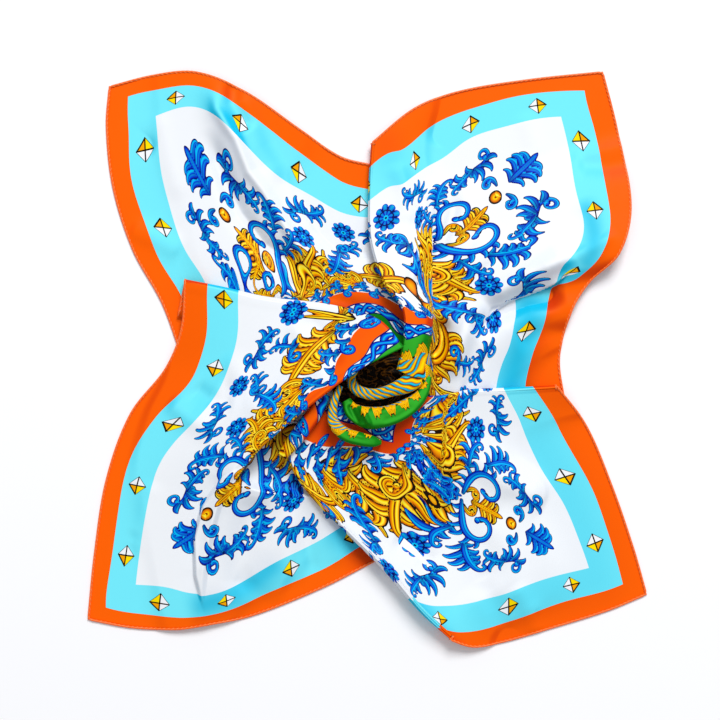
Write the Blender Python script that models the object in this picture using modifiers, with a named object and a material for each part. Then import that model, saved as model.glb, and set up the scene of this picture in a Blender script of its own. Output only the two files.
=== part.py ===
"""Silk square scarf, laid on a surface and twisted once at its centre.

Metres, +Z up, resting on z = 0. The origin is under the middle of the laid
scarf. Four petals splay from the twist; each is one stretch of the same
square of cloth, and each laps over or under its neighbours in flat pleats.

The tables are plan positions and heights in millimetres, seen from above
with +Y away from the viewer. A petal is a patch between four edges: two hems
that meet at the scarf's corner, and two folds that run in to the twist.
"""
import math
from collections import namedtuple

import bmesh
import bpy
from mathutils import Vector

MM = 0.001
WALL = 1.2 * MM              # cloth wall
HEM_GAP = 0.45 * MM          # clearance between the hem and the cloth's edge
HEM_DIAMETER = 2.4 * MM      # hand-rolled hem round the square
HEM_CLEAR = 0.1 * MM         # the hem's underside stays this far above the wall's
MERGE = 0.00005              # points closer than this are one point
MIDDLE = (-1.2, -0.2, 0.0)   # mm: moves the tables' zero under the middle of the laid scarf

REST_LOW = 0.5               # mm: cloth lower than this lies flat on the surface
REST_HIGH = 2.6              # mm: cloth higher than this keeps its own height
ROLL_STEPS = 4               # facets round the half turn of a fold
TUCK_STEPS = 2               # rows of the layer that returns beneath a fold
ARCH_STEPS = 6               # facets across a curl of the twist
CELLS_ALONG_HEM = 17         # rows from the corner to each fold
CELLS_FLANK = 9              # rows across the lower left petal's flank

COLLECTION = "silk_square_scarf"

# An edge's station: plan place and height of the underside, then the radius
# and the depth of the fold that turns the cloth back beneath itself there.
Station = namedtuple("Station", "x y lift roll tuck", defaults=(0.0, 0.0))
# A crease: height of its crest (negative for a trough) and half width.
Crease = namedtuple("Crease", "height width path")
# A section of a curl: plan place, crest height, half width and drop of its sides.
Curl = namedtuple("Curl", "x y crest half drop")


def stations(*rows):
    return [Station(*row) for row in rows]


UPPER_LEFT = {
    "hem_a": stations((-194, 206, 0), (-162, 214, 2), (-128, 216, 6), (-91, 201, 7),
                      (-50, 173, 3), (-20, 153, 0), (2, 147, 0), (39, 140, 0)),
    "hem_b": stations((-194, 206, 0), (-196, 176, 0), (-191, 130, 0), (-176, 83, 0),
                      (-154, 43, 0), (-139, 2, 0)),
    "fold_a": stations((39, 140, 0), (34, 93, 1), (36, 52, 9), (28, 10, 11)),
    "fold_b": stations((-139, 2, 0), (-87, -10, 1), (-23, -2, 4), (28, 10, 11)),
    "creases": [Crease(5.0, 13, [(-121, 222), (-105, 182), (-88, 140), (-60, 100), (-16, 52)])],
}
UPPER_RIGHT = {
    "hem_a": stations((179, 217, 0), (123, 211, 0), (70, 202, 1), (37, 189, 4),
                      (4, 162, 7.6)),
    "hem_b": stations((179, 217, 0), (190, 173, 1), (199, 116, 10), (190, 80, 14),
                      (168, 58, 6), (155, 37, 7), (146, 1, 1), (150, -32, 0)),
    "fold_a": stations((4, 162, 7.6, 2.4, 18), (2, 127, 8, 2.4, 22), (3, 89, 11, 2.4, 20),
                       (14, 55, 20, 2.4, 8), (27, 37, 26, 2.4, 5), (28, 16, 27, 2.2, 4),
                       (23, -8, 24, 2.0, 3)),
    "fold_b": stations((150, -32, 0), (100, -46, 1), (67, -41, 3), (51, -33, 6),
                       (44, -16, 21), (34, -13, 24), (23, -8, 24)),
    "creases": [Crease(-6.0, 9, [(152, 50), (122, 45), (97, 34), (80, 15)]),
                Crease(5.0, 8, [(157, 83), (122, 63), (89, 44)]),
                Crease(-13.0, 6, [(59, 34), (54, 12), (47, 0), (43, -23)]),
                Crease(4.0, 8, [(87, 45), (75, 18), (60, -18)])],
}
LOWER_LEFT = {
    "hem_a": stations((-210, -197, 0), (-177, -203, 0), (-143, -204, 3), (-122, -201, 4)),
    "hem_b": stations((-210, -197, 0), (-205, -147, 0), (-196, -91, 0), (-178, -42, 0),
                      (-151, -7, 2), (-139, 22, 5), (-136, 60, 7.6)),
    "fold_a": stations((-122, -201, 4), (-117, -154, 8), (-105, -106, 14),
                       (-87, -76, 21, 1.2, 3), (-55, -46, 29, 1.2, 6), (-8, -10, 33, 1.2, 4),
                       (28, 9, 34, 1.0, 0)),
    "fold_b": stations((-136, 60, 7.6, 2.4, 26), (-106, 54, 11, 2.4, 22),
                       (-76, 47, 14, 2.4, 18), (-23, 40, 21, 2.4, 12), (10, 29, 29, 2.4, 7),
                       (28, 9, 34, 2.2, 4)),
    "creases": [],
}
# The flank falls from the lower left petal's ridge and runs on beneath the
# lower right petal. Its ridge side is the petal's own, as far as the split.
LOWER_LEFT_FLANK = {
    "hem_a": stations((-122, -201, 4), (-87, -194, 1), (-34, -173, 0), (8, -152, 0),
                      (34, -141, 0)),
    "ridge_end": stations((-105, -106, 14), (-95, -89, 8), (-78, -65, 5), (-57, -46, 4)),
    "fold_a": stations((34, -141, 0), (4, -108, 1), (-25, -74, 2), (-40, -52, 4)),
    "fold_b": stations((-57, -46, 4), (-40, -52, 4)),
    "creases": [Crease(-3.0, 14, [(-97, -180), (-90, -130), (-80, -95)])],
}
LOWER_RIGHT = {
    "hem_a": stations((212, -178, 0), (183, -190, 0), (138, -204, 0), (103, -214, 1),
                      (81, -217, 5), (63, -211, 10)),
    "hem_b": stations((212, -178, 0), (202, -143, 0), (185, -94, 0), (166, -50, 1),
                      (143, -20, 7.6)),
    "fold_a": stations((63, -211, 10, 3.6, 24), (40, -190, 14, 4.4, 24),
                       (14, -160, 14, 4.4, 24), (-16, -130, 12, 3.4, 18),
                       (-46, -98, 12, 2.6, 10), (-58, -74, 13, 2.4, 6),
                       (-48, -53, 14, 2.4, 4), (-21, -32, 13, 2.2, 3)),
    "fold_b": stations((143, -20, 7.6, 2.4, 7), (103, -22, 8, 2.4, 14),
                       (78, -23, 11, 2.4, 12), (60, -27, 13, 2.2, 3), (44, -29, 14, 1.2, 0),
                       (27, -38, 13, 1.2, 0), (4, -44, 12, 1.2, 0), (-12, -39, 12, 1.2, 0),
                       (-21, -32, 13, 1.0, 0)),
    "creases": [Crease(-3.0, 22, [(50, -100), (72, -140), (96, -180)]),
                Crease(4.0, 12, [(60, -60), (104, -90), (140, -110)])],
}

INNER_CURL = [Curl(34, -17, 24, 7.8, 3), Curl(28, -20, 25, 6.6, 5), Curl(20, -23, 24, 4.8, 6),
              Curl(10, -26, 23, 4.2, 6), Curl(1, -26, 21, 4.2, 6), Curl(-8, -22, 19, 4.0, 6),
              Curl(-11, -15, 17, 3.4, 6), Curl(-8, -8, 15, 2.8, 5)]
OUTER_CURL = [Curl(45, -23, 20, 2.6, 4), Curl(38, -31, 22, 5.0, 5), Curl(28, -38, 24, 6.6, 6),
              Curl(15, -43, 25, 7.6, 7), Curl(1, -44, 24, 8.0, 7), Curl(-10, -39, 22, 6.0, 6),
              Curl(-15, -31, 19, 3.6, 5)]
LOWER_CURL = [Curl(-19, -20, 24, 2.4, 4), Curl(-23, -29, 25, 3.0, 5), Curl(-25, -39, 26, 3.4, 5),
              Curl(-24, -48, 27, 4.2, 5), Curl(-16, -56, 27, 4.8, 6), Curl(-4, -60, 26, 4.6, 6),
              Curl(8, -62, 23, 3.6, 4)]
UNDER_PLEAT = [Curl(-31, -26, 22.6, 4.4, 4), Curl(-37, -38, 22.6, 5.4, 5),
               Curl(-46, -51, 21.6, 6.0, 5), Curl(-56, -64, 19.6, 5.2, 4), Curl(-63, -73, 17.6, 3.4, 3)]
# The middle of the square, a dish at the bottom of the twist (mm).
HEART_CENTRE = (6, -23)
HEART_HALF = (31, 15)
HEART_RIM = 8.7
HEART_DISH = 4.5

WHITE = (0.95, 0.96, 0.98, 1.0)
ORANGE = (0.95, 0.15, 0.01, 1.0)
GREEN = (0.07, 0.38, 0.05, 1.0)
GOLD = (0.93, 0.55, 0.03, 1.0)
RUST = (0.55, 0.06, 0.01, 1.0)
UMBER = (0.03, 0.015, 0.01, 1.0)
SILK_ROUGHNESS = 0.42


def clear_scene():
    for item in list(bpy.data.objects):
        bpy.data.objects.remove(item, do_unlink=True)


def make_material(name, colour):
    material = bpy.data.materials.new(name)
    material.use_nodes = True
    shader = material.node_tree.nodes["Principled BSDF"]
    shader.inputs["Base Color"].default_value = colour
    shader.inputs["Roughness"].default_value = SILK_ROUGHNESS
    shader.inputs["Metallic"].default_value = 0.0
    return material


def smooth_curve(rows, count):
    """count + 1 rows, evenly spaced in plan, on a smooth curve through rows."""
    columns = len(rows[0])
    spans = [math.dist(a[:2], b[:2]) for a, b in zip(rows, rows[1:])]
    slopes = []
    for index in range(len(rows)):
        before, after = max(index - 1, 0), min(index + 1, len(rows) - 1)
        length = sum(spans[before:after])
        slopes.append([(rows[after][c] - rows[before][c]) / length for c in range(columns)])
    dense = []
    samples = 24
    for index, span in enumerate(spans):
        for step in range(samples + (index == len(spans) - 1)):
            u = step / samples
            a, b = 2 * u**3 - 3 * u**2 + 1, u**3 - 2 * u**2 + u
            c, d = -2 * u**3 + 3 * u**2, u**3 - u**2
            dense.append([a * rows[index][k] + b * span * slopes[index][k]
                          + c * rows[index + 1][k] + d * span * slopes[index + 1][k]
                          for k in range(columns)])
    travelled = [0.0]
    for a, b in zip(dense, dense[1:]):
        travelled.append(travelled[-1] + math.dist(a[:2], b[:2]))
    result = []
    cursor = 0
    for step in range(count + 1):
        target = travelled[-1] * step / count
        while cursor < len(dense) - 2 and travelled[cursor + 1] < target:
            cursor += 1
        reach = travelled[cursor + 1] - travelled[cursor]
        blend = (target - travelled[cursor]) / reach if reach else 0.0
        result.append([p + (q - p) * blend for p, q in zip(dense[cursor], dense[cursor + 1])])
    return result


def outward_normals(path, inside):
    """Unit plan normals of a path that point away from the side of inside."""
    normals = []
    for index in range(len(path)):
        a, b = path[max(index - 1, 0)], path[min(index + 1, len(path) - 1)]
        length = math.dist(a[:2], b[:2])
        normals.append(((b[1] - a[1]) / length, (a[0] - b[0]) / length))
    first, towards = path[0], (inside[0] - path[0][0], inside[1] - path[0][1])
    if normals[0][0] * towards[0] + normals[0][1] * towards[1] > 0:
        normals = [(-x, -y) for x, y in normals]
    return normals


def fold_path(rows, count, inside):
    """The fold's outline drawn in by its radius, with its outward normals."""
    path = smooth_curve(rows, count)
    normals = outward_normals(path, inside)
    drawn_in = []
    for (x, y, lift, roll, tuck), (nx, ny) in zip(path, normals):
        roll = roll if roll > 0.5 else 0.0
        drawn_in.append([x - nx * roll, y - ny * roll, lift, roll, max(tuck, 0.0)])
    return drawn_in, normals


def smoothstep(low, high, value):
    t = min(max((value - low) / (high - low), 0.0), 1.0)
    return t * t * (3 - 2 * t)


def crease_height(creases, x, y):
    """What the creases add at a plan point, fading out at their ends."""
    total = 0.0
    for crease in creases:
        spans = [math.dist(a, b) for a, b in zip(crease.path, crease.path[1:])]
        nearest, along, before = 1e9, 0.0, 0.0
        for (ax, ay), (bx, by), span in zip(crease.path, crease.path[1:], spans):
            u = ((x - ax) * (bx - ax) + (y - ay) * (by - ay)) / span**2
            u = min(max(u, 0.0), 1.0)
            distance = math.hypot(x - ax - u * (bx - ax), y - ay - u * (by - ay))
            if distance < nearest:
                nearest, along = distance, before + u * span
            before += span
        share = along / before
        fade = smoothstep(0.0, 0.2, share) * smoothstep(0.0, 0.2, 1.0 - share)
        total += crease.height * fade * math.exp(-(nearest / crease.width)**2)
    return total


def patch_points(hem_a, hem_b, fold_a, fold_b, creases):
    """A Coons patch between four sampled edges, as rows of (x, y, height)."""
    last_i, last_j = len(hem_a) - 1, len(hem_b) - 1
    grid = []
    for i in range(last_i + 1):
        s = i / last_i
        row = []
        for j in range(last_j + 1):
            t = j / last_j
            point = []
            for c in range(3):
                ruled_t = (1 - t) * hem_a[i][c] + t * fold_b[i][c]
                ruled_s = (1 - s) * hem_b[j][c] + s * fold_a[j][c]
                corners = ((1 - s) * (1 - t) * hem_a[0][c] + s * (1 - t) * hem_a[-1][c]
                           + (1 - s) * t * hem_b[-1][c] + s * t * fold_a[-1][c])
                point.append(ruled_t + ruled_s - corners)
            edge = min(1 - s, 1 - t) * min(last_i, last_j)
            point[2] += crease_height(creases, point[0], point[1]) * smoothstep(0, 3, edge)
            point[2] = max(point[2], 0.0) * smoothstep(REST_LOW, REST_HIGH, point[2])
            row.append(Vector(point) * MM + Vector((0, 0, WALL / 2)))
        grid.append(row)
    return grid


def fold_rows(edge_points, edge_rows, normals):
    """The half turn at a fold and the layer that returns beneath it, if it rolls."""
    rows = []
    if not any(row[3] for row in edge_rows):
        return rows
    for step in range(1, ROLL_STEPS + 1):
        angle = math.pi * step / ROLL_STEPS
        rows.append([point + Vector((n[0] * math.sin(angle), n[1] * math.sin(angle),
                                     math.cos(angle) - 1)) * (row[3] * MM)
                     for point, row, n in zip(edge_points, edge_rows, normals)])
    under = rows[-1]
    for step in range(1, TUCK_STEPS + 1):
        rows.append([point - Vector((n[0], n[1], 0)) * (row[4] * MM * step / TUCK_STEPS)
                     for point, row, n in zip(under, edge_rows, normals)])
    return rows


def add_grid(mesh, rows):
    """Quads between neighbouring rows of points, collapsed ones left out."""
    made = [[mesh.verts.new(point) for point in row] for row in rows]
    for row, following in zip(made, made[1:]):
        for a, b, c, d in zip(row, row[1:], following[1:], following):
            mesh.faces.new((a, b, c, d))
    return made


def finish_wall(name, mesh, material, collection, outward):
    """Turns an open sheet into a solid wall, centred on the sheet."""
    bmesh.ops.remove_doubles(mesh, verts=mesh.verts, dist=MERGE)
    bmesh.ops.dissolve_degenerate(mesh, dist=MERGE / 5, edges=mesh.edges)
    bmesh.ops.recalc_face_normals(mesh, faces=mesh.faces)
    data = bpy.data.meshes.new(name)
    mesh.to_mesh(data)
    mesh.free()
    if outward and sum(face.normal.z * face.area for face in data.polygons) < 0:
        data.flip_normals()
    data.shade_smooth()
    data.materials.append(material)
    wall = bpy.data.objects.new(name, data)
    wall.location = Vector(MIDDLE) * MM
    collection.objects.link(wall)
    solidify = wall.modifiers.new("Wall", "SOLIDIFY")
    solidify.thickness = WALL
    solidify.offset = 0.0
    solidify.use_even_offset = False
    return wall


def hem_edge(edge, inner):
    """A hem's centre line: the cloth's edge moved outwards by radius and gap."""
    reach = HEM_DIAMETER / 2 + HEM_GAP
    lift = Vector((0, 0, (HEM_DIAMETER - WALL) / 2 + HEM_CLEAR))
    line = []
    for index, point in enumerate(edge):
        along = edge[min(index + 1, len(edge) - 1)] - edge[max(index - 1, 0)]
        outward = point - inner[index]
        outward -= outward.project(along)
        place = point + outward.normalized() * reach + lift
        place.z = max(place.z, HEM_DIAMETER / 2 + HEM_CLEAR)
        line.append(place)
    return line


def make_hem(name, path, material, collection):
    """A slim round hem along a list of points, with filled ends."""
    kept = [path[0]]
    for point in path[1:]:
        if (point - kept[-1]).length > HEM_DIAMETER / 3:
            kept.append(point)
    curve = bpy.data.curves.new(name, "CURVE")
    curve.dimensions = "3D"
    curve.bevel_depth = HEM_DIAMETER / 2
    curve.bevel_resolution = 1
    curve.use_fill_caps = True
    spline = curve.splines.new("POLY")
    spline.points.add(len(kept) - 1)
    for target, point in zip(spline.points, kept):
        target.co = (*point, 1.0)
    curve.materials.append(material)
    hem = bpy.data.objects.new(name, curve)
    hem.location = Vector(MIDDLE) * MM
    collection.objects.link(hem)


def make_petal(name, table, material, hem_material, collection):
    """One petal with its rolled folds, and the hem round its two outer edges."""
    cells = CELLS_ALONG_HEM
    corner = table["hem_a"][0]
    hem_a = smooth_curve(table["hem_a"], cells)
    hem_b = smooth_curve(table["hem_b"], cells)
    fold_a, normals_a = fold_path(table["fold_a"], cells, corner)
    fold_b, normals_b = fold_path(table["fold_b"], cells, corner)
    hem_a[-1], hem_b[-1] = fold_a[0][:3], fold_b[0][:3]
    fold_b[-1][:3] = fold_a[-1][:3]
    grid = patch_points(hem_a, hem_b, fold_a, fold_b, table["creases"])
    under_a = fold_rows(grid[-1], fold_a, normals_a)
    under_b = fold_rows([row[-1] for row in grid], fold_b, normals_b)
    mesh = bmesh.new()
    add_grid(mesh, grid)
    add_grid(mesh, [grid[-1]] + under_a)
    add_grid(mesh, [[row[-1] for row in grid]] + under_b)
    if "flank" in table:
        add_flank(mesh, grid[-1], table)
    finish_wall(name, mesh, material, collection, True)
    along_a = [row[0] for row in grid] + [row[0] for row in under_a]
    within_a = [row[1] for row in grid] + [row[1] for row in under_a]
    along_b = grid[0] + [row[0] for row in under_b]
    within_b = grid[1] + [row[1] for row in under_b]
    side_a, side_b = hem_edge(along_a, within_a), hem_edge(along_b, within_b)
    if "flank" in table:
        side_a = side_a[:cells] + table["flank_hem"]
    meeting = side_a[0] + side_b[0] - grid[0][0]
    meeting.z = side_a[0].z
    path = side_a[:0:-1] + [meeting] + side_b[1:]
    make_hem(name.replace("petal", "hem"), path, hem_material, collection)


def add_flank(mesh, ridge, table):
    """The cloth beyond a petal's ridge: it shares the ridge up to the split."""
    flank = table["flank"]
    split = table["split"]
    end = flank["ridge_end"]
    cells = len(ridge) - 1
    falling = smooth_curve(end, cells - split)
    shared = [[p.x / MM, p.y / MM, (p.z - WALL / 2) / MM] for p in ridge[:split]]
    ridge_side = shared + [row[:3] for row in falling]
    hem = smooth_curve(flank["hem_a"], CELLS_FLANK)
    hem[0] = ridge_side[0] + [0, 0]
    fold_a = smooth_curve(flank["fold_a"], cells)
    fold_b = smooth_curve(flank["fold_b"], CELLS_FLANK)
    grid = patch_points(hem, ridge_side, fold_a, fold_b, flank["creases"])
    add_grid(mesh, [ridge[:split + 1] + grid[0][split + 1:]] + grid[1:])
    table["flank_hem"] = hem_edge([row[0] for row in grid], [row[1] for row in grid])


def split_ridge(table, flank):
    """Finds the station where the ridge parts from its flank."""
    cells = CELLS_ALONG_HEM
    ridge, _ = fold_path(table["fold_a"], cells, table["hem_a"][0])
    split = max(j for j, row in enumerate(ridge) if row[3] == 0.0)
    x, y, lift = ridge[split][:3]
    flank["ridge_end"][0] = Station(x, y, lift)
    table["flank"], table["split"] = flank, split


def make_curl(name, sections, material, collection):
    """An arched strip of cloth that runs round the twist."""
    rows = []
    for index, section in enumerate(smooth_curve(sections, 3 * (len(sections) - 1))):
        rows.append(section)
    normals = outward_normals(rows, (0, 0))
    sheet = []
    for (x, y, crest, half, drop), (nx, ny) in zip(rows, normals):
        arch = []
        for step in range(ARCH_STEPS + 1):
            angle = math.pi * (step / ARCH_STEPS - 0.5)
            side = half * math.sin(angle)
            height = crest - drop * (1 - math.cos(angle))
            arch.append(Vector((x + nx * side, y + ny * side, height)) * MM)
        sheet.append(arch)
    mesh = bmesh.new()
    add_grid(mesh, sheet)
    finish_wall(name, mesh, material, collection, True)


def make_heart(name, material, collection):
    """The dished middle of the square, at the bottom of the twist."""
    rings, sides = 4, 20
    rows = []
    for ring in range(rings + 1):
        share = ring / rings
        lift = HEART_RIM - HEART_DISH * (1 - share**2)
        rows.append([Vector((HEART_CENTRE[0] + HEART_HALF[0] * share * math.cos(math.tau * k / sides),
                             HEART_CENTRE[1] + HEART_HALF[1] * share * math.sin(math.tau * k / sides),
                             lift)) * MM for k in range(sides + 1)])
    mesh = bmesh.new()
    add_grid(mesh, rows)
    finish_wall(name, mesh, material, collection, True)


def main():
    clear_scene()
    collection = bpy.data.collections.new(COLLECTION)
    bpy.context.scene.collection.children.link(collection)
    split_ridge(LOWER_LEFT, LOWER_LEFT_FLANK)
    petals = {"petal_upper_left": UPPER_LEFT, "petal_upper_right": UPPER_RIGHT,
              "petal_lower_left": LOWER_LEFT, "petal_lower_right": LOWER_RIGHT}
    for name, table in petals.items():
        make_petal(name, table, make_material(name, WHITE),
                   make_material(name.replace("petal", "hem"), ORANGE), collection)
    curls = {"twist_inner_curl": (INNER_CURL, GOLD), "twist_outer_curl": (OUTER_CURL, GREEN),
             "twist_lower_curl": (LOWER_CURL, GREEN), "twist_under_pleat": (UNDER_PLEAT, RUST)}
    for name, (sections, colour) in curls.items():
        make_curl(name, sections, make_material(name, colour), collection)
    make_heart("twist_heart", make_material("twist_heart", UMBER), collection)


main()
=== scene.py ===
import math

import bpy
import numpy as np
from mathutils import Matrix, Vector


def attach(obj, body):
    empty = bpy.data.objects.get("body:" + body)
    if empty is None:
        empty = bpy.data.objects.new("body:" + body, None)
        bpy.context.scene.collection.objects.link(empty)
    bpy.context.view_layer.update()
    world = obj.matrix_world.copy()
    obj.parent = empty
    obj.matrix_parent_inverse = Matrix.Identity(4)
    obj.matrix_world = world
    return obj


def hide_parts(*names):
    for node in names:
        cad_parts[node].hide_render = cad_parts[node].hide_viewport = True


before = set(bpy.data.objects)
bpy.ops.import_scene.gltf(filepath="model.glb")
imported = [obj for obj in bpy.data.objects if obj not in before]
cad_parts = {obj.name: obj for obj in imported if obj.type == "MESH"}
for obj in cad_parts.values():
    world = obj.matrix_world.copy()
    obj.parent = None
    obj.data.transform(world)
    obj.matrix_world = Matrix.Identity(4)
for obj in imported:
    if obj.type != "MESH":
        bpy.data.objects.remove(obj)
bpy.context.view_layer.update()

mm = 0.001

# what a user would change on the cloth itself, mm
silk = {
    "halfSide": 265,                   # from the scarf's middle to its hem, flat
    "thickness": 0.44,
    "restHeight": 0.3,                 # from the surface to the middle of the cloth
    "middle": (-1.2, -0.2),            # puts the middle of the laid scarf over the origin
    "restLow": 0.5, "restHigh": 2.6,   # lower cloth lies flat, higher cloth keeps its height
    "rollRows": 10, "tuckRows": 6,     # rows of faces round a fold and in the layer beneath it
    "flatUnder": 0.5,                  # a roll below this radius is a plain edge
    "leastRoll": 0.12, "leastTuck": 0.3,
    "cornerRadius": 2.5, "cornerRows": 14, "cornerAlong": 6,
    "creaseEnds": 0.2,                 # share of a crease's length over which each end dies away
    "foldInset": 40,                   # a fold's print runs on as it does this part of a petal further in
}


# curves
def smoothCurve(rows, count, samples=60):
    # rows joined by a smooth curve, evenly spaced in plan
    rows = np.asarray(rows, float)
    spans = np.hypot(*(rows[1:, :2] - rows[:-1, :2]).T)
    run = np.concatenate([[0], np.cumsum(spans)])
    index = np.arange(len(rows))
    before, after = np.maximum(index - 1, 0), np.minimum(index + 1, len(rows) - 1)
    slopes = (rows[after] - rows[before]) / (run[after] - run[before])[:, None]
    t = np.linspace(0, 1, samples, endpoint=False)[:, None]
    parts = [(2 * t**3 - 3 * t**2 + 1) * a + (t**3 - 2 * t**2 + t) * span * sa
             + (3 * t**2 - 2 * t**3) * b + (t**3 - t**2) * span * sb
             for a, b, sa, sb, span in zip(rows, rows[1:], slopes, slopes[1:], spans)]
    dense = np.vstack(parts + [rows[-1:]])
    travelled = np.concatenate([[0], np.cumsum(np.hypot(*(dense[1:, :2] - dense[:-1, :2]).T))])
    where = np.linspace(0, travelled[-1], count + 1)
    return np.stack([np.interp(where, travelled, dense[:, c]) for c in range(rows.shape[1])], 1)


def chords(path):
    # at each point, the way from the point before it to the one after
    index = np.arange(len(path))
    return path[np.minimum(index + 1, len(path) - 1)] - path[np.maximum(index - 1, 0)]


def unit(vectors):
    # each row one long
    return vectors / np.maximum(np.linalg.norm(vectors, axis=1), 1e-9)[:, None]


def lengthPassed(path):
    return np.concatenate([[0], np.cumsum(np.linalg.norm(np.diff(path, axis=0), axis=1))])


def outwardNormals(path, inside):
    # square to the path in plan, on the side away from the inside point
    along = chords(path[:, :2])
    normals = unit(np.stack([along[:, 1], -along[:, 0]], 1))
    if normals[0] @ (np.asarray(inside[:2]) - path[0, :2]) > 0:
        normals = -normals
    return normals


def smoothStep(low, high, value):
    t = np.clip((value - low) / (high - low), 0, 1)
    return t * t * (3 - 2 * t)


def nearestOn(path, x, y):
    # how far plan points are from a path, what share of it they are along, and on which side
    path = np.asarray(path, float)
    steps = np.diff(path, axis=0)
    spans = np.hypot(*steps.T)
    run = np.concatenate([[0], np.cumsum(spans)])
    nearest, along, side = np.full(x.shape, 1e9), np.zeros_like(x), np.zeros_like(x)
    for (ax, ay), (dx, dy), span, start in zip(path, steps, spans, run):
        t = np.clip(((x - ax) * dx + (y - ay) * dy) / span**2, 0, 1)
        distance = np.hypot(x - ax - t * dx, y - ay - t * dy)
        closer = distance < nearest
        nearest = np.where(closer, distance, nearest)
        along = np.where(closer, start + t * span, along)
        side = np.where(closer, np.sign(dx * (y - ay) - dy * (x - ax)), side)
    return nearest, along / run[-1], side


def endFade(share, length):
    # 1 along a path and 0 at its two ends
    return smoothStep(0, length, share) * smoothStep(0, length, 1 - share)


def creaseHeight(creases, x, y):
    # what soft ridges and troughs add at plan points
    total = np.zeros_like(x)
    for height, width, path in creases:
        nearest, share, _ = nearestOn(path, x, y)
        total += height * endFade(share, silk["creaseEnds"]) * np.exp(-(nearest / width)**2)
    return total


def hemRow(rows, count, flatStart, flatEnd):
    # a hem's stations with flat places that run evenly along its length
    path = smoothCurve(rows, count)
    travelled = lengthPassed(path)
    share = (travelled / travelled[-1])[:, None]
    return np.hstack([path, (1 - share) * np.asarray(flatStart) + share * np.asarray(flatEnd)])


# the petals, mm; the tables' zero is near the middle of the twist
# flat places are u and v on the cut square, zero at its middle
# cells: faces along each hem. corner: the scarf's corner, flat. ends: where the two hems end, flat
# hems: x, y, height. folds: x, y, height, roll radius, depth tucked under, flat place
# creases and fine: height, width and path of a soft ridge or trough
# steps: drop, half width, flat cloth hidden and path, where one side of a crease laps over the other
# deep: strength, width and path of a stretch with painted shade, where the dyes are drawn darker. laps:
# reach and path of a deep lap
# marks: 0 for u or 1 for v, its flat value, and the spots where that line of the print shows
upperLeft = {
    "name": "upper_left", "cells": 260, "corner": (-265, 265), "ends": ((-12, 265), (-265, 51)),
    "hemA": [(-194, 206, 0), (-162, 214, 2), (-128, 216, 6), (-91, 201, 7), (-50, 173, 3), (-20, 153, 0),
             (2, 147, 0), (39, 140, 0)],
    "hemB": [(-194, 206, 0), (-196, 176, 0), (-191, 130, 0), (-176, 83, 0), (-154, 43, 0), (-139, 2, 0)],
    "foldA": [(39, 140, 0, 0, 0, -12, 265), (34, 93, 1, 0, 0, -10, 205), (36, 52, 9, 0, 0, -12, 142),
              (28, 10, 11, 0, 0, -40, 92)],
    "foldB": [(-139, 2, 0, 0, 0, -265, 51), (-87, -10, 1, 0, 0, -190, 66), (-23, -2, 4, 0, 0, -110, 80),
              (28, 10, 11, 0, 0, -40, 92)],
    "creases": [(5.0, 13, [(-121, 222), (-105, 182), (-88, 140), (-60, 100), (-16, 52)])],
    "fine": [(3.0, 4, [(-116, 204), (-113, 188), (-98, 166), (-88, 141), (-77, 127), (-40, 66)]),
             (-4.4, 7, [(-120, 176), (-112, 150), (-96, 110), (-78, 86), (-41, 62)]),
             (1.4, 8, [(-98, 204), (-88, 184), (-80, 160), (-62, 130)]),
             (1.3, 4, [(-60, 92), (-34, 76), (-4, 66), (24, 52)]),
             (-1.1, 5, [(-50, 100), (-20, 86), (14, 78)]),
             (0.7, 9, [(-160, 190), (-152, 150), (-140, 118)]),
             (-1.8, 7, [(-204, 172), (-180, 166), (-158, 158)]),
             (-2.6, 7, [(-100, 212), (-101, 192), (-88, 170)]),
             (1.6, 9, [(-182, 100), (-160, 92), (-138, 80)]), (-0.9, 4, [(-70, 62), (-40, 50), (0, 40)])],
    "steps": [],
    "deep": [],
    "laps": [],
    "marks": [(0, -250, (-180, 199.5), (-180, 175), (-178, 144), (-171, 113), (-161, 86), (-148, 62),
                (-137, 43.5)),
              (0, -228, (-157.5, 183), (-156, 149), (-149, 121), (-140, 93), (-131, 74), (-122, 61.5)),
              (1, 250, (-180, 199.5), (-142.5, 206), (-103.5, 195), (-57, 160.5), (-10.5, 131),
                (1.5, 128)),
              (1, 228, (-157.5, 184), (-124, 189), (-100.5, 170), (-64.5, 136), (-8, 107))],
    "innerMarks": [(1, 130, (-17, 49.5), (25.5, 40)), (1, 115, (-4.5, 42), (28, 28)), (1, 105, (13, 33),
                     (28, 18)), (1, 158, (-50, 52)), (1, 176, (-80, 54))],
}
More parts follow.
